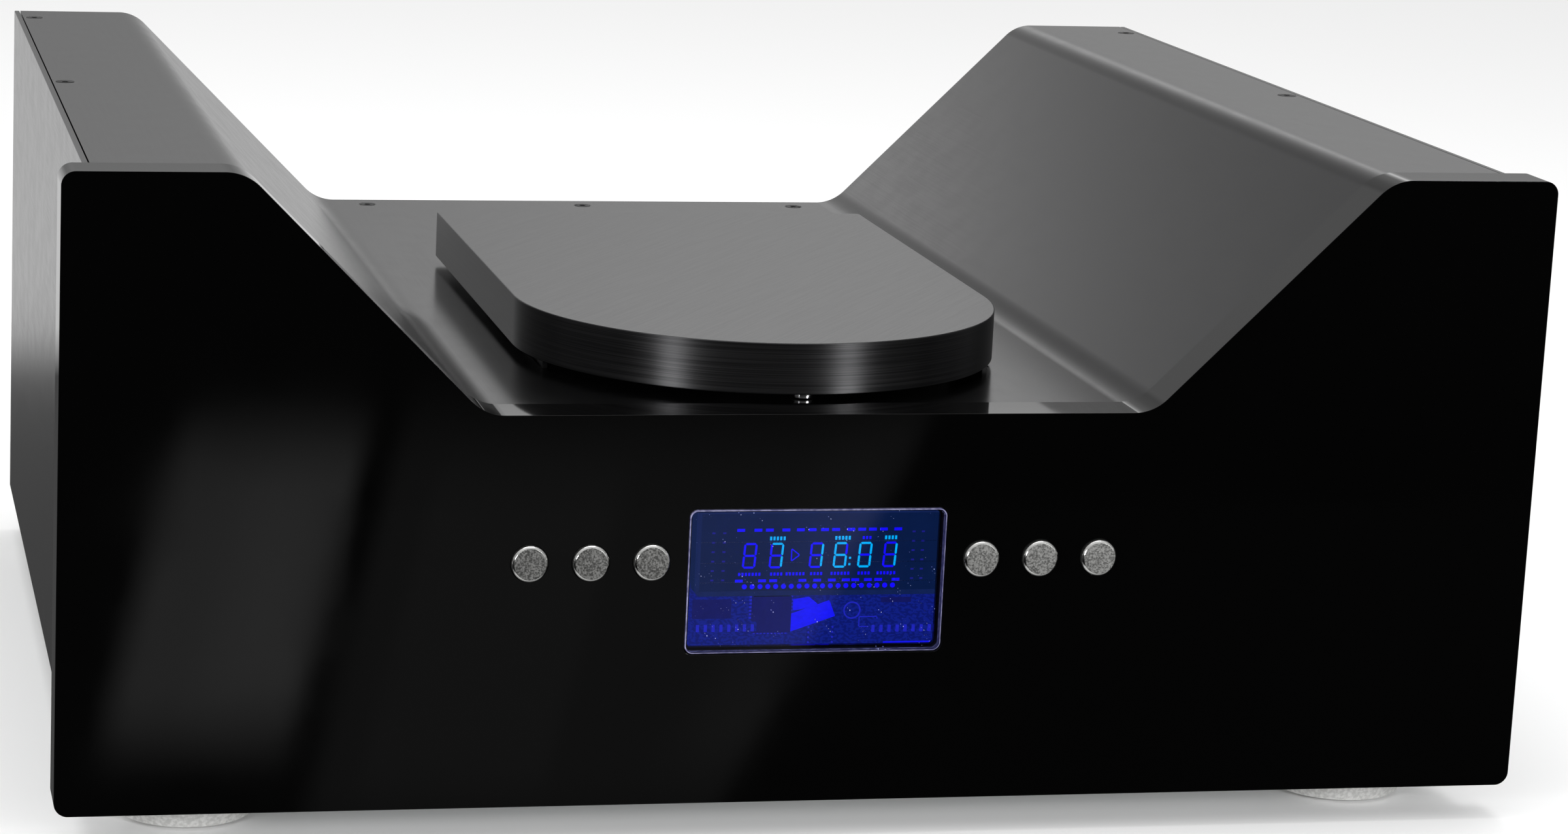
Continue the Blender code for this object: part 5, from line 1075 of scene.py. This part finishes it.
class PLAYER_OT_display_tube(bpy.types.Operator):
    """Build the display tube: base, frit frame, marks, filament wires and front glass."""

    bl_idname = "player.display_tube"
    bl_label = "Display Tube"

    def execute(self, context):
        node = "display_tube"
        low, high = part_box(node)
        glass_back = low.y + TUBE_GLASS
        base = glass_back + TUBE_RIM
        # The base carries a painted glow of the tube's light; the glass in front is clear
        for name, start, end, material in (
            ("display_tube_base", base, high.y, glowing("display_ground")),
            ("display_tube_glass", low.y, glass_back, finish("tube_glass")),
        ):
            plate = bmesh.new()
            add_plate(plate, grown_rectangle(node, 0, start), TUBE_CORNER, (0, end - start, 0))
            piece(name, plate, material, node, edge=HAIR_EDGE, steps=1)
        frame_ring = bmesh.new()
        add_plate(frame_ring, grown_rectangle(node, 0, glass_back), TUBE_CORNER, (0, TUBE_RIM, 0))
        opening = bmesh.new()
        inside = grown_rectangle(node, -TUBE_RIM, glass_back - OVERRUN)
        add_plate(opening, inside, 0, (0, TUBE_RIM + 2 * OVERRUN, 0))
        frame_ring = combined(frame_ring, opening)
        piece("display_tube_frame", frame_ring, glowing("frit_frame"), node)
        lit, resting, faint = bmesh.new(), bmesh.new(), bmesh.new()
        add_digits(lit, resting, base)
        for x, z in COLON:
            add_bar(lit, x, z, COLON_SIZE, COLON_SIZE, base)
        for mesh, rows in ((lit, LIT_TICKS), (resting, RESTING_TICKS)):
            for row in rows:
                add_ticks(mesh, row, base)
        for places, z in ((TOP_DASHES, TOP_DASH_Z), (LOW_DASHES, LOW_DASH_Z)):
            for x in places:
                add_bar(resting, x, z, *DASH_SIZE, base)
        for index in range(DOME_COUNT):
            dome = in_window(DOME_START + index * DOME_STEP, DOME_Z, base - MARK_DEPTH)
            add_rod(resting, dome, (0, 1, 0), MARK_DEPTH, DOME_RADIUS * MM, 12)
        for start, end in zip(TRIANGLE, TRIANGLE[1:] + TRIANGLE[:1]):
            add_stroke(resting, start, end, base, STROKE / 2)
        for x in SIDE_MARK_COLUMNS:
            for z in SIDE_MARK_ROWS:
                add_bar(faint, x, z, *SIDE_MARK_SIZE, base)
        # The lit marks glow; the resting and faint marks carry a painted glow
        piece("display_tube_lit_marks", lit, glowing("lit_phosphor"), node)
        piece("display_tube_resting_marks", resting, glowing("resting_phosphor"), node)
        piece("display_tube_faint_marks", faint, glowing("faint_phosphor"), node)
        wires = bmesh.new()
        for z in FILAMENT_PLACES:
            start = in_window(0, z, (glass_back + base) / 2)
            start.x = low.x + TUBE_RIM
            add_rod(wires, start, (1, 0, 0), high.x - low.x - 2 * TUBE_RIM, FILAMENT_RADIUS, 8)
        piece("display_tube_filaments", wires, finish("nickel_plate"), node)
        return {"FINISHED"}


class PLAYER_OT_control_board(bpy.types.Operator):
    """Dress the control board and build what shows of it below the display tube."""

    bl_idname = "player.control_board"
    bl_label = "Control Board"

    def execute(self, context):
        node = "control_board"
        dress(node, finish("green_solder_mask"), HAIR_EDGE)
        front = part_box("display_tube")[1].y + JOINT_GAP
        area = bmesh.new()
        outline = grown_rectangle("display_window", BEHIND_WINDOW_MARGIN, front - MARK_DEPTH)
        add_plate(area, outline, 0, (0, MARK_DEPTH, 0))
        bodies, metal = bmesh.new(), bmesh.new()
        add_chip(bodies, metal, front)
        for header in HEADERS:
            add_bar(area, *header, front, HEADER_DEPTH)
        for block in DARK_BLOCKS:
            add_bar(bodies, *block, front, BLOCK_THICKNESS)
        comb = front - HEADER_DEPTH
        for start, end, z, count in COMB_ROWS:
            for index in range(count):
                middle = in_window(start + (end - start) * index / (count - 1), z, comb)
                half = Vector((COMB_HALF_WIDTH, COMB_THICKNESS, COMB_HALF_HEIGHT))
                add_block(metal, middle - half, middle + half)
        for x, z in PIN_COLUMNS:
            for index in range(PINS_IN_COLUMN):
                start = in_window(x, z - index * PIN_STEP, front - LEAD_THICKNESS)
                add_rod(metal, start, (0, 1, 0), LEAD_THICKNESS, PIN_RADIUS, 12)
        ring = [(radius, front - LEAD_THICKNESS) for radius in RING_RADII]
        ring += [(radius, front) for radius in RING_RADII[::-1]]
        place = in_window(*RING_PLACE, 0)
        add_turned(metal, ring, place, (0, 1, 0), SMALL_STEPS)
        for start, end in zip(OUTLINE_CORNERS, OUTLINE_CORNERS[1:] + OUTLINE_CORNERS[:1]):
            add_stroke(metal, start, end, front - MARK_DEPTH, STROKE / 2)
        ribbon = bmesh.new()
        add_bar(ribbon, *BOTTOM_STRIP, front, LEAD_THICKNESS)
        for corners in RIBBONS:
            add_mark(ribbon, corners, front, RIBBON_STANDOFF)
        # These pieces carry a painted glow of the tube's light, and the board a painted shadow of the tube
        dark_parts = glowing("board_parts_in_blue_light")
        piece("control_board_behind_window", area, board_in_blue_light(), node)
        piece("control_board_part_bodies", bodies, dark_parts, node, edge=HAIR_EDGE, steps=1)
        piece("control_board_joints", metal, glowing("solder_in_blue_light"), node)
        bright = glowing("ribbon_in_blue_light")
        piece("control_board_ribbon", ribbon, bright, node, edge=HAIR_EDGE, steps=1)
        return {"FINISHED"}


class PLAYER_OT_buttons(bpy.types.Operator):
    """Turn the six push buttons, each with a diamond-cut rim round its blasted face."""

    bl_idname = "player.buttons"
    bl_label = "Buttons"

    def execute(self, context):
        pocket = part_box("front_panel")[1].y - BUTTON_POCKET_DEPTH + JOINT_GAP
        finishes = [finish("blasted_button_anodising"), finish("polished_button_rim")]
        for node in nodes_like("button_*"):
            low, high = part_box(node)
            flange = (high.x - low.x) / 2
            radius = flange - BUTTON_FLANGE_WIDTH
            profile = [
                (0, low.y), (radius - BUTTON_CHAMFER, low.y), (radius, low.y + BUTTON_CHAMFER),
                (radius, pocket), (flange, pocket), (flange, pocket + BUTTON_FLANGE_THICKNESS),
                (BUTTON_STEM_RADIUS, pocket + BUTTON_FLANGE_THICKNESS), (BUTTON_STEM_RADIUS, high.y),
                (0, high.y),
            ]
            turned_piece(
                f"{node}_turned", node, profile, finishes, (0, 1, 0), edge=BUTTON_EDGE, steps=2,
                second_where=lambda face: 0.3 < abs(face.normal.y) < 0.95,
            )
        return {"FINISHED"}


class PLAYER_OT_cover(bpy.types.Operator):
    """Bend the cover over the player, open for the disc, the lid's carriers and the screws."""

    bl_idname = "player.cover"
    bl_label = "Top Cover"

    def execute(self, context):
        low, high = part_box("top_cover")
        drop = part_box("front_panel")[1].z - high.z
        under = drop + sizes().sheet
        corners = valley_line(high.x, drop, low.y) + valley_line(high.x, under, low.y)[::-1]
        radii = valley_radii(0, drop) + valley_radii(0, under)[::-1]
        cover = bmesh.new()
        add_plate(cover, corners, radii, (0, high.y - low.y, 0))
        tool = bmesh.new()
        well = centre_of("disc_well")
        floor_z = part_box("front_panel")[0].z + sizes().valley_floor_height - drop
        cut_z = (floor_z - CUTTER_REACH, floor_z + CUTTER_REACH)
        add_rod(tool, (well.x, well.y, cut_z[0]), (0, 0, 1), 2 * CUTTER_REACH, sizes().well_radius)
        blade_low, blade_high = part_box("right_lid_carrier")
        travel = JOINT["lid_slide"]["range_m"][1]
        reach = (blade_low.x - SLIDE_CLEARANCE, blade_low.x + BLADE_THICKNESS + SLIDE_CLEARANCE)
        for side in SIDES:
            across = sorted(side * x for x in reach)
            deep = (blade_low.y - SLIDE_CLEARANCE, blade_high.y + travel + SLIDE_CLEARANCE)
            add_block(tool, (across[0], deep[0], cut_z[0]), (across[1], deep[1], cut_z[1]))
        for node in nodes_like("cover_screw_*"):
            place_low, place_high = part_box(node)
            head = (place_high.x - place_low.x) / 2 + JOINT_GAP
            shank = SCREW_SHANK + JOINT_GAP
            top = place_high.z
            profile = [
                (0, top - CUTTER_REACH), (shank, top - CUTTER_REACH), (shank, top - SCREW_HEAD_DEPTH),
                (head, top), (head, top + OVERRUN), (0, top + OVERRUN),
            ]
            middle = centre_of(node)
            add_turned(tool, profile, (middle.x, middle.y, 0), steps=SMALL_STEPS)
        cover = combined(cover, tool)
        piece("top_cover_bent", cover, brushed_black_anodising(), "top_cover", edge=FINE_EDGE, steps=2)
        return {"FINISHED"}


class PLAYER_OT_side_panels(bpy.types.Operator):
    """Dress the side panels."""

    bl_idname = "player.side_panels"
    bl_label = "Side Panels"

    def execute(self, context):
        dress("*_side_panel", brushed_black_anodising(), SOFT_EDGE)
        return {"FINISHED"}


class PLAYER_OT_cover_screws(bpy.types.Operator):
    """Turn the countersunk screws and cut their hexagon sockets."""

    bl_idname = "player.cover_screws"
    bl_label = "Cover Screws"

    def execute(self, context):
        for node in nodes_like("cover_screw_*"):
            low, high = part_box(node)
            middle = centre_of(node)
            profile = [
                (0, low.z), (SCREW_SHANK, low.z), (SCREW_SHANK, high.z - SCREW_HEAD_DEPTH),
                ((high.x - low.x) / 2, high.z), (0, high.z),
            ]
            screw = bmesh.new()
            add_turned(screw, profile, (middle.x, middle.y, 0), steps=SMALL_STEPS)
            socket = bmesh.new()
            start = (middle.x, middle.y, high.z - SOCKET_DEPTH)
            add_rod(socket, start, (0, 0, 1), SOCKET_DEPTH + OVERRUN, SOCKET_RADIUS, 6)
            screw = combined(screw, socket)
            piece(f"{node}_turned", screw, finish("blackened_steel"), node, edge=SCREW_EDGE, steps=2)
        return {"FINISHED"}


class PLAYER_OT_lid(bpy.types.Operator):
    """Cut the thick lid with its round nose and square rear corners."""

    bl_idname = "player.lid"
    bl_label = "Lid"

    def execute(self, context):
        low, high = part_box("lid")
        nose = high.x - MERGE_DISTANCE / 10
        corners = [
            Vector((high.x, low.y, low.z)), Vector((high.x, high.y, low.z)),
            Vector((low.x, high.y, low.z)), Vector((low.x, low.y, low.z)),
        ]
        lid = bmesh.new()
        add_plate(lid, corners, [nose, LID_REAR_CORNER, LID_REAR_CORNER, nose], (0, 0, high.z - low.z))
        bmesh.ops.remove_doubles(lid, verts=lid.verts, dist=MERGE_DISTANCE)
        painted(lid, 1, lambda face: abs(face.normal.z) < 0.5)
        finishes = [finish("brushed_lid_anodising"), finish("milled_lid_edge")]
        piece("lid_brushed", lid, finishes, "lid", edge=sizes().lid_edge)
        return {"FINISHED"}


class PLAYER_OT_lid_fittings(bpy.types.Operator):
    """Dress the lid's bumper, its carriers and their rails."""

    bl_idname = "player.lid_fittings"
    bl_label = "Lid Fittings"

    def execute(self, context):
        dress("lid_bumper", finish("ground_steel"), FINE_EDGE)
        dress("*_lid_carrier", finish("moulded_black_abs"), FINE_EDGE)
        dress("*_lid_rail", finish("ground_steel"), FINE_EDGE)
        return {"FINISHED"}


class PLAYER_OT_feet(bpy.types.Operator):
    """Turn the feet and give each its rubber tread."""

    bl_idname = "player.feet"
    bl_label = "Feet"

    def execute(self, context):
        for node in nodes_like("*_foot"):
            low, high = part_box(node)
            radius = (high.x - low.x) / 2
            bottom = low.z + FOOT_PAD_HEIGHT
            profile = [
                (0, bottom), (FOOT_TREAD_RADIUS, bottom), (radius, low.z + FOOT_CHAMFER_HEIGHT),
                (radius, high.z), (0, high.z),
            ]
            turned_piece(f"{node}_turned", node, profile, finish("blasted_foot_anodising"), edge=FOOT_EDGE)
            tread = [(0, low.z), (FOOT_PAD_RADIUS, low.z), (FOOT_PAD_RADIUS, bottom), (0, bottom)]
            turned_piece(f"{node}_tread", node, tread, finish("moulded_rubber"), edge=FINE_EDGE)
        return {"FINISHED"}


class PLAYER_OT_disc_well(bpy.types.Operator):
    """Turn the dish for the disc and cut the pickup's slot into it."""

    bl_idname = "player.disc_well"
    bl_label = "Disc Well"

    def execute(self, context):
        node = "disc_well"
        low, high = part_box(node)
        middle = centre_of(node)
        floor_z = low.z + WELL_BOTTOM
        wall = sizes().well_radius + WELL_WALL
        flange_z = high.z - WELL_FLANGE_THICKNESS
        profile = [
            (HUB_HOLE_RADIUS, low.z), (wall, low.z), (wall, flange_z), ((high.x - low.x) / 2, flange_z),
            ((high.x - low.x) / 2, high.z), (sizes().well_radius, high.z),
            (sizes().well_radius, floor_z), (HUB_HOLE_RADIUS, floor_z),
        ]
        well = bmesh.new()
        add_turned(well, profile, (middle.x, middle.y, 0))
        slot = bmesh.new()
        start = (-SLOT_HALF_WIDTH, middle.y, low.z - OVERRUN)
        add_block(slot, start, (SLOT_HALF_WIDTH, middle.y + wall + OVERRUN, floor_z + SLOT_RISE))
        piece("disc_well_moulded", combined(well, slot), finish("moulded_black_abs"), node, edge=FULL_EDGE)
        return {"FINISHED"}


class PLAYER_OT_hub(bpy.types.Operator):
    """Turn the hub with its rubber mat, and the clamp that presses the disc down."""

    bl_idname = "player.hub"
    bl_label = "Hub and Clamp"

    def execute(self, context):
        low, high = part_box("spindle_hub")
        top = high.z - BOSS_HEIGHT
        plate_z = top - HUB_THICKNESS
        collar_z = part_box("spindle_motor")[1].z + JOINT_GAP
        profile = [
            (0, low.z), (SPINDLE_RADIUS, low.z), (SPINDLE_RADIUS, collar_z), (COLLAR_RADIUS, collar_z),
            (COLLAR_RADIUS, plate_z), (HUB_RADIUS, plate_z), (HUB_RADIUS, top), (BOSS_RADIUS, top),
            (BOSS_RADIUS, high.z - BOSS_CHAMFER), (BOSS_RADIUS - BOSS_CHAMFER, high.z), (0, high.z),
        ]
        plastic = finish("moulded_black_abs")
        turned_piece("spindle_hub_turned", "spindle_hub", profile, plastic, edge=FINE_EDGE)
        mat = [(MAT_INNER_RADIUS, top), (MAT_OUTER_RADIUS, top)]
        mat += [(radius, top + MAT_THICKNESS) for radius, _ in mat[::-1]]
        turned_piece("spindle_hub_mat", "spindle_hub", mat, finish("moulded_rubber"))
        low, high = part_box("disc_clamp")
        neck_z = low.z + CLAMP_HEIGHT
        knob_z = neck_z + CLAMP_NECK_HEIGHT
        recess = BOSS_RADIUS + JOINT_GAP
        profile = [
            (0, low.z + BOSS_HEIGHT), (recess, low.z + BOSS_HEIGHT), (recess, low.z),
            ((high.x - low.x) / 2, low.z), ((high.x - low.x) / 2, neck_z), (CLAMP_NECK_RADIUS, neck_z),
            (CLAMP_NECK_RADIUS, knob_z), (CLAMP_KNOB_RADIUS, knob_z), (CLAMP_KNOB_RADIUS, high.z),
            (0, high.z),
        ]
        silver = finish("turned_silver_aluminium")
        turned_piece("disc_clamp_turned", "disc_clamp", profile, silver, edge=FULL_EDGE)
        return {"FINISHED"}


class PLAYER_OT_transport(bpy.types.Operator):
    """Dress the drive: chassis, isolators, motors, rods, sled and lens."""

    bl_idname = "player.transport"
    bl_label = "Transport"

    def execute(self, context):
        for node in ("transport_chassis", "spindle_motor", "sled_motor"):
            dress(node, finish("zinc_plated_steel"), FINE_EDGE)
        dress("*_isolator", finish("moulded_rubber"), SOFT_EDGE)
        dress("*_guide_rod", finish("ground_steel"), FINE_EDGE)
        dress("lead_screw", rolled_screw_steel(), HAIR_EDGE)
        dress("pickup_sled", finish("moulded_black_abs"), FINE_EDGE)
        dress("pickup_lens", finish("coated_lens_glass"), HAIR_EDGE)
        return {"FINISHED"}


class PLAYER_OT_frame(bpy.types.Operator):
    """Dress the base plate, the frame's bars, the subpanel and the rear panel."""

    bl_idname = "player.frame"
    bl_label = "Frame"

    def execute(self, context):
        for pattern in ("base_plate", "*_frame_rail", "rear_crossbar"):
            dress(pattern, finish("zinc_plated_steel"), SOFT_EDGE)
        for node in ("rear_panel", "front_subpanel"):
            dress(node, finish("blackened_steel"), FINE_EDGE)
        return {"FINISHED"}


class PLAYER_OT_electronics(bpy.types.Operator):
    """Dress the main board, its capacitors and the mains transformer."""

    bl_idname = "player.electronics"
    bl_label = "Electronics"

    def execute(self, context):
        dress("main_board", finish("green_solder_mask"), HAIR_EDGE)
        dress("filter_capacitor_*", finish("capacitor_sleeve"), SOFT_EDGE)
        dress("power_transformer", finish("polyester_tape"), SOFT_EDGE)
        return {"FINISHED"}


class PLAYER_OT_mains_inlet(bpy.types.Operator):
    """Dress the mains inlet and sleeve its three pins with nickel."""

    bl_idname = "player.mains_inlet"
    bl_label = "Mains Inlet"

    def execute(self, context):
        node = "mains_inlet"
        dress(node, finish("moulded_black_abs"), FINE_EDGE)
        low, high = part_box(node)
        middle_x = centre_of(node).x
        cavity_z = low.z + INLET_RIM + INLET_WALL + INLET_CAVITY_HEIGHT / 2
        pins = bmesh.new()
        for across_share, up_share in PIN_PLACE_SHARES:
            x = middle_x + across_share * INLET_CAVITY_WIDTH
            z = cavity_z + up_share * INLET_CAVITY_HEIGHT
            start = (x - PIN_HALF_THICKNESS, high.y - INLET_CAVITY_DEPTH - OVERRUN, z - PIN_HALF_HEIGHT)
            end = (x + PIN_HALF_THICKNESS, high.y - PIN_MOUTH_GAP + PIN_PLATING, z + PIN_HALF_HEIGHT)
            add_block(pins, start, end)
        piece("mains_inlet_pins", pins, finish("nickel_plate"), node, edge=FULL_EDGE, steps=2)
        return {"FINISHED"}


class PLAYER_OT_power_rocker(bpy.types.Operator):
    """Dress the mains rocker and print a bar on its one half and a ring on its other."""

    bl_idname = "player.power_rocker"
    bl_label = "Power Rocker"

    def execute(self, context):
        node = "power_rocker"
        dress(node, finish("moulded_black_abs"), FINE_EDGE)
        pivot = Vector(JOINT["rocker_tilt"]["pos_m"])
        marks = bmesh.new()
        for half, ring in ((-1, True), (1, False)):
            mark = bmesh.new()
            if ring:
                profile = [(radius, 0) for radius in RING_MARK_RADII]
                profile += [(radius, MARK_THICKNESS) for radius in RING_MARK_RADII[::-1]]
                add_turned(mark, profile, (0, 0, 0), (0, 1, 0), SMALL_STEPS)
            else:
                across, up = BAR_MARK_HALF_WIDTH, BAR_MARK_HALF_HEIGHT
                add_block(mark, (-across, 0, -up), (across, MARK_THICKNESS, up))
            offset = ROCKER_MARK_OFFSET
            face = Vector((0, ROCKER_PIVOT_INSET + offset * math.tan(ROCKER_TILT), half * offset))
            matrix = Matrix.Translation(pivot) @ Matrix.Rotation(-ROCKER_TILT, 4, "X")
            matrix = matrix @ Matrix.Translation(face) @ Matrix.Rotation(-half * ROCKER_TILT, 4, "X")
            bmesh.ops.transform(mark, matrix=matrix, verts=mark.verts)
            data = bpy.data.meshes.new("mark")
            mark.to_mesh(data)
            mark.free()
            marks.from_mesh(data)
            bpy.data.meshes.remove(data)
        piece("power_rocker_marks", marks, finish("white_nylon"), node)
        return {"FINISHED"}


class PLAYER_OT_jacks(bpy.types.Operator):
    """Turn the gold-plated jacks and their coloured insulators."""

    bl_idname = "player.jacks"
    bl_label = "Jacks"

    def execute(self, context):
        for node, insulator in INSULATORS.items():
            low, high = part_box(node)
            seat = high.y - JACK_REACH + JOINT_GAP
            flange = seat + JACK_FLANGE_THICKNESS
            bore = high.y - JACK_BORE_DEPTH
            profile = [
                (0, low.y), (JACK_TAIL_RADIUS, low.y), (JACK_TAIL_RADIUS, seat),
                (JACK_FLANGE_RADIUS, seat), (JACK_FLANGE_RADIUS, flange), (JACK_BARREL_RADIUS, flange),
                (JACK_BARREL_RADIUS, high.y), (JACK_BARREL_INNER, high.y), (JACK_BARREL_INNER, bore),
                (0, bore),
            ]
            turned_piece(f"{node}_turned", node, profile, finish("gold_plate"), (0, 1, 0), edge=FINE_EDGE)
            ring = [(JACK_BORE_RADIUS, bore), (JACK_BARREL_INNER, bore)]
            ring += [(radius, high.y - JACK_RECESS) for radius, _ in ring[::-1]]
            turned_piece(f"{node}_insulator", node, ring, finish(insulator), (0, 1, 0))
        return {"FINISHED"}


class PLAYER_OT_studio(bpy.types.Operator):
    """Set the world, floor, lights and camera."""

    bl_idname = "player.studio"
    bl_label = "Studio"

    def execute(self, context):
        scene = bpy.context.scene
        scene.view_settings.view_transform = "Standard"
        studio_world()
        pale_floor()
        box = (SOFTBOX_PLACE, SOFTBOX_TARGET, SOFTBOX_WIDTH, SOFTBOX_DEPTH, SOFTBOX_POWER)
        area_light("overhead_softbox", *box)
        lid = centre_of("lid")
        for name, azimuth, width in STRIP_LIGHTS:
            angle = math.radians(azimuth)
            place = lid + Vector((math.sin(angle), math.cos(angle), STRIP_RISE)) * STRIP_DISTANCE
            area_light(name, place, lid, width, STRIP_LENGTH, studio().strip_power)
        low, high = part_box("front_panel")
        data = bpy.data.cameras.new("camera")
        data.sensor_fit = "HORIZONTAL"
        data.sensor_width = SENSOR_WIDTH
        data.lens = studio().lens
        data.shift_x = studio().shift_x
        data.shift_y = studio().shift_y
        data.clip_start = NEAREST_SHOWN
        camera = bpy.data.objects.new("camera", data)
        place = Vector((0, low.y, low.z)) + Vector(studio().camera_place)
        turn = Matrix.Rotation(-studio().yaw, 4, "Z") @ Matrix.Rotation(math.pi / 2 - studio().pitch, 4, "X")
        camera.matrix_world = Matrix.Translation(place) @ turn @ Matrix.Rotation(studio().roll, 4, "Z")
        scene.collection.objects.link(camera)
        scene.camera = camera
        return {"FINISHED"}


class PLAYER_PT_pieces(bpy.types.Panel):
    """Lists the operators in the order in which they run."""

    bl_idname = "PLAYER_PT_pieces"
    bl_label = "Disc Player"
    bl_space_type = "VIEW_3D"
    bl_region_type = "UI"
    bl_category = "Player"

    def draw(self, context):
        for operator in OPERATORS:
            self.layout.operator(operator.bl_idname)


OPERATORS = (
    PLAYER_OT_front_panel,
    PLAYER_OT_display_window,
    PLAYER_OT_display_tube,
    PLAYER_OT_control_board,
    PLAYER_OT_buttons,
    PLAYER_OT_cover,
    PLAYER_OT_side_panels,
    PLAYER_OT_cover_screws,
    PLAYER_OT_lid,
    PLAYER_OT_lid_fittings,
    PLAYER_OT_feet,
    PLAYER_OT_disc_well,
    PLAYER_OT_hub,
    PLAYER_OT_transport,
    PLAYER_OT_frame,
    PLAYER_OT_electronics,
    PLAYER_OT_mains_inlet,
    PLAYER_OT_power_rocker,
    PLAYER_OT_jacks,
    PLAYER_OT_studio,
)
CLASSES = (PlayerSizes, PlayerColours, PlayerStudio, *OPERATORS, PLAYER_PT_pieces)


def register():
    """Registers the classes and gives the scene its settings."""
    for item in CLASSES:
        bpy.utils.register_class(item)
    bpy.types.Scene.player_sizes = bpy.props.PointerProperty(type=PlayerSizes)
    bpy.types.Scene.player_colours = bpy.props.PointerProperty(type=PlayerColours)
    bpy.types.Scene.player_studio = bpy.props.PointerProperty(type=PlayerStudio)


def unregister():
    """Takes the settings and the classes away again."""
    del bpy.types.Scene.player_studio
    del bpy.types.Scene.player_colours
    del bpy.types.Scene.player_sizes
    for item in reversed(CLASSES):
        bpy.utils.unregister_class(item)


def main():
    """Runs every operator in order."""
    register()
    for operator in OPERATORS:
        group, name = operator.bl_idname.split(".")
        getattr(getattr(bpy.ops, group), name)()


if __name__ == "__main__":
    main()
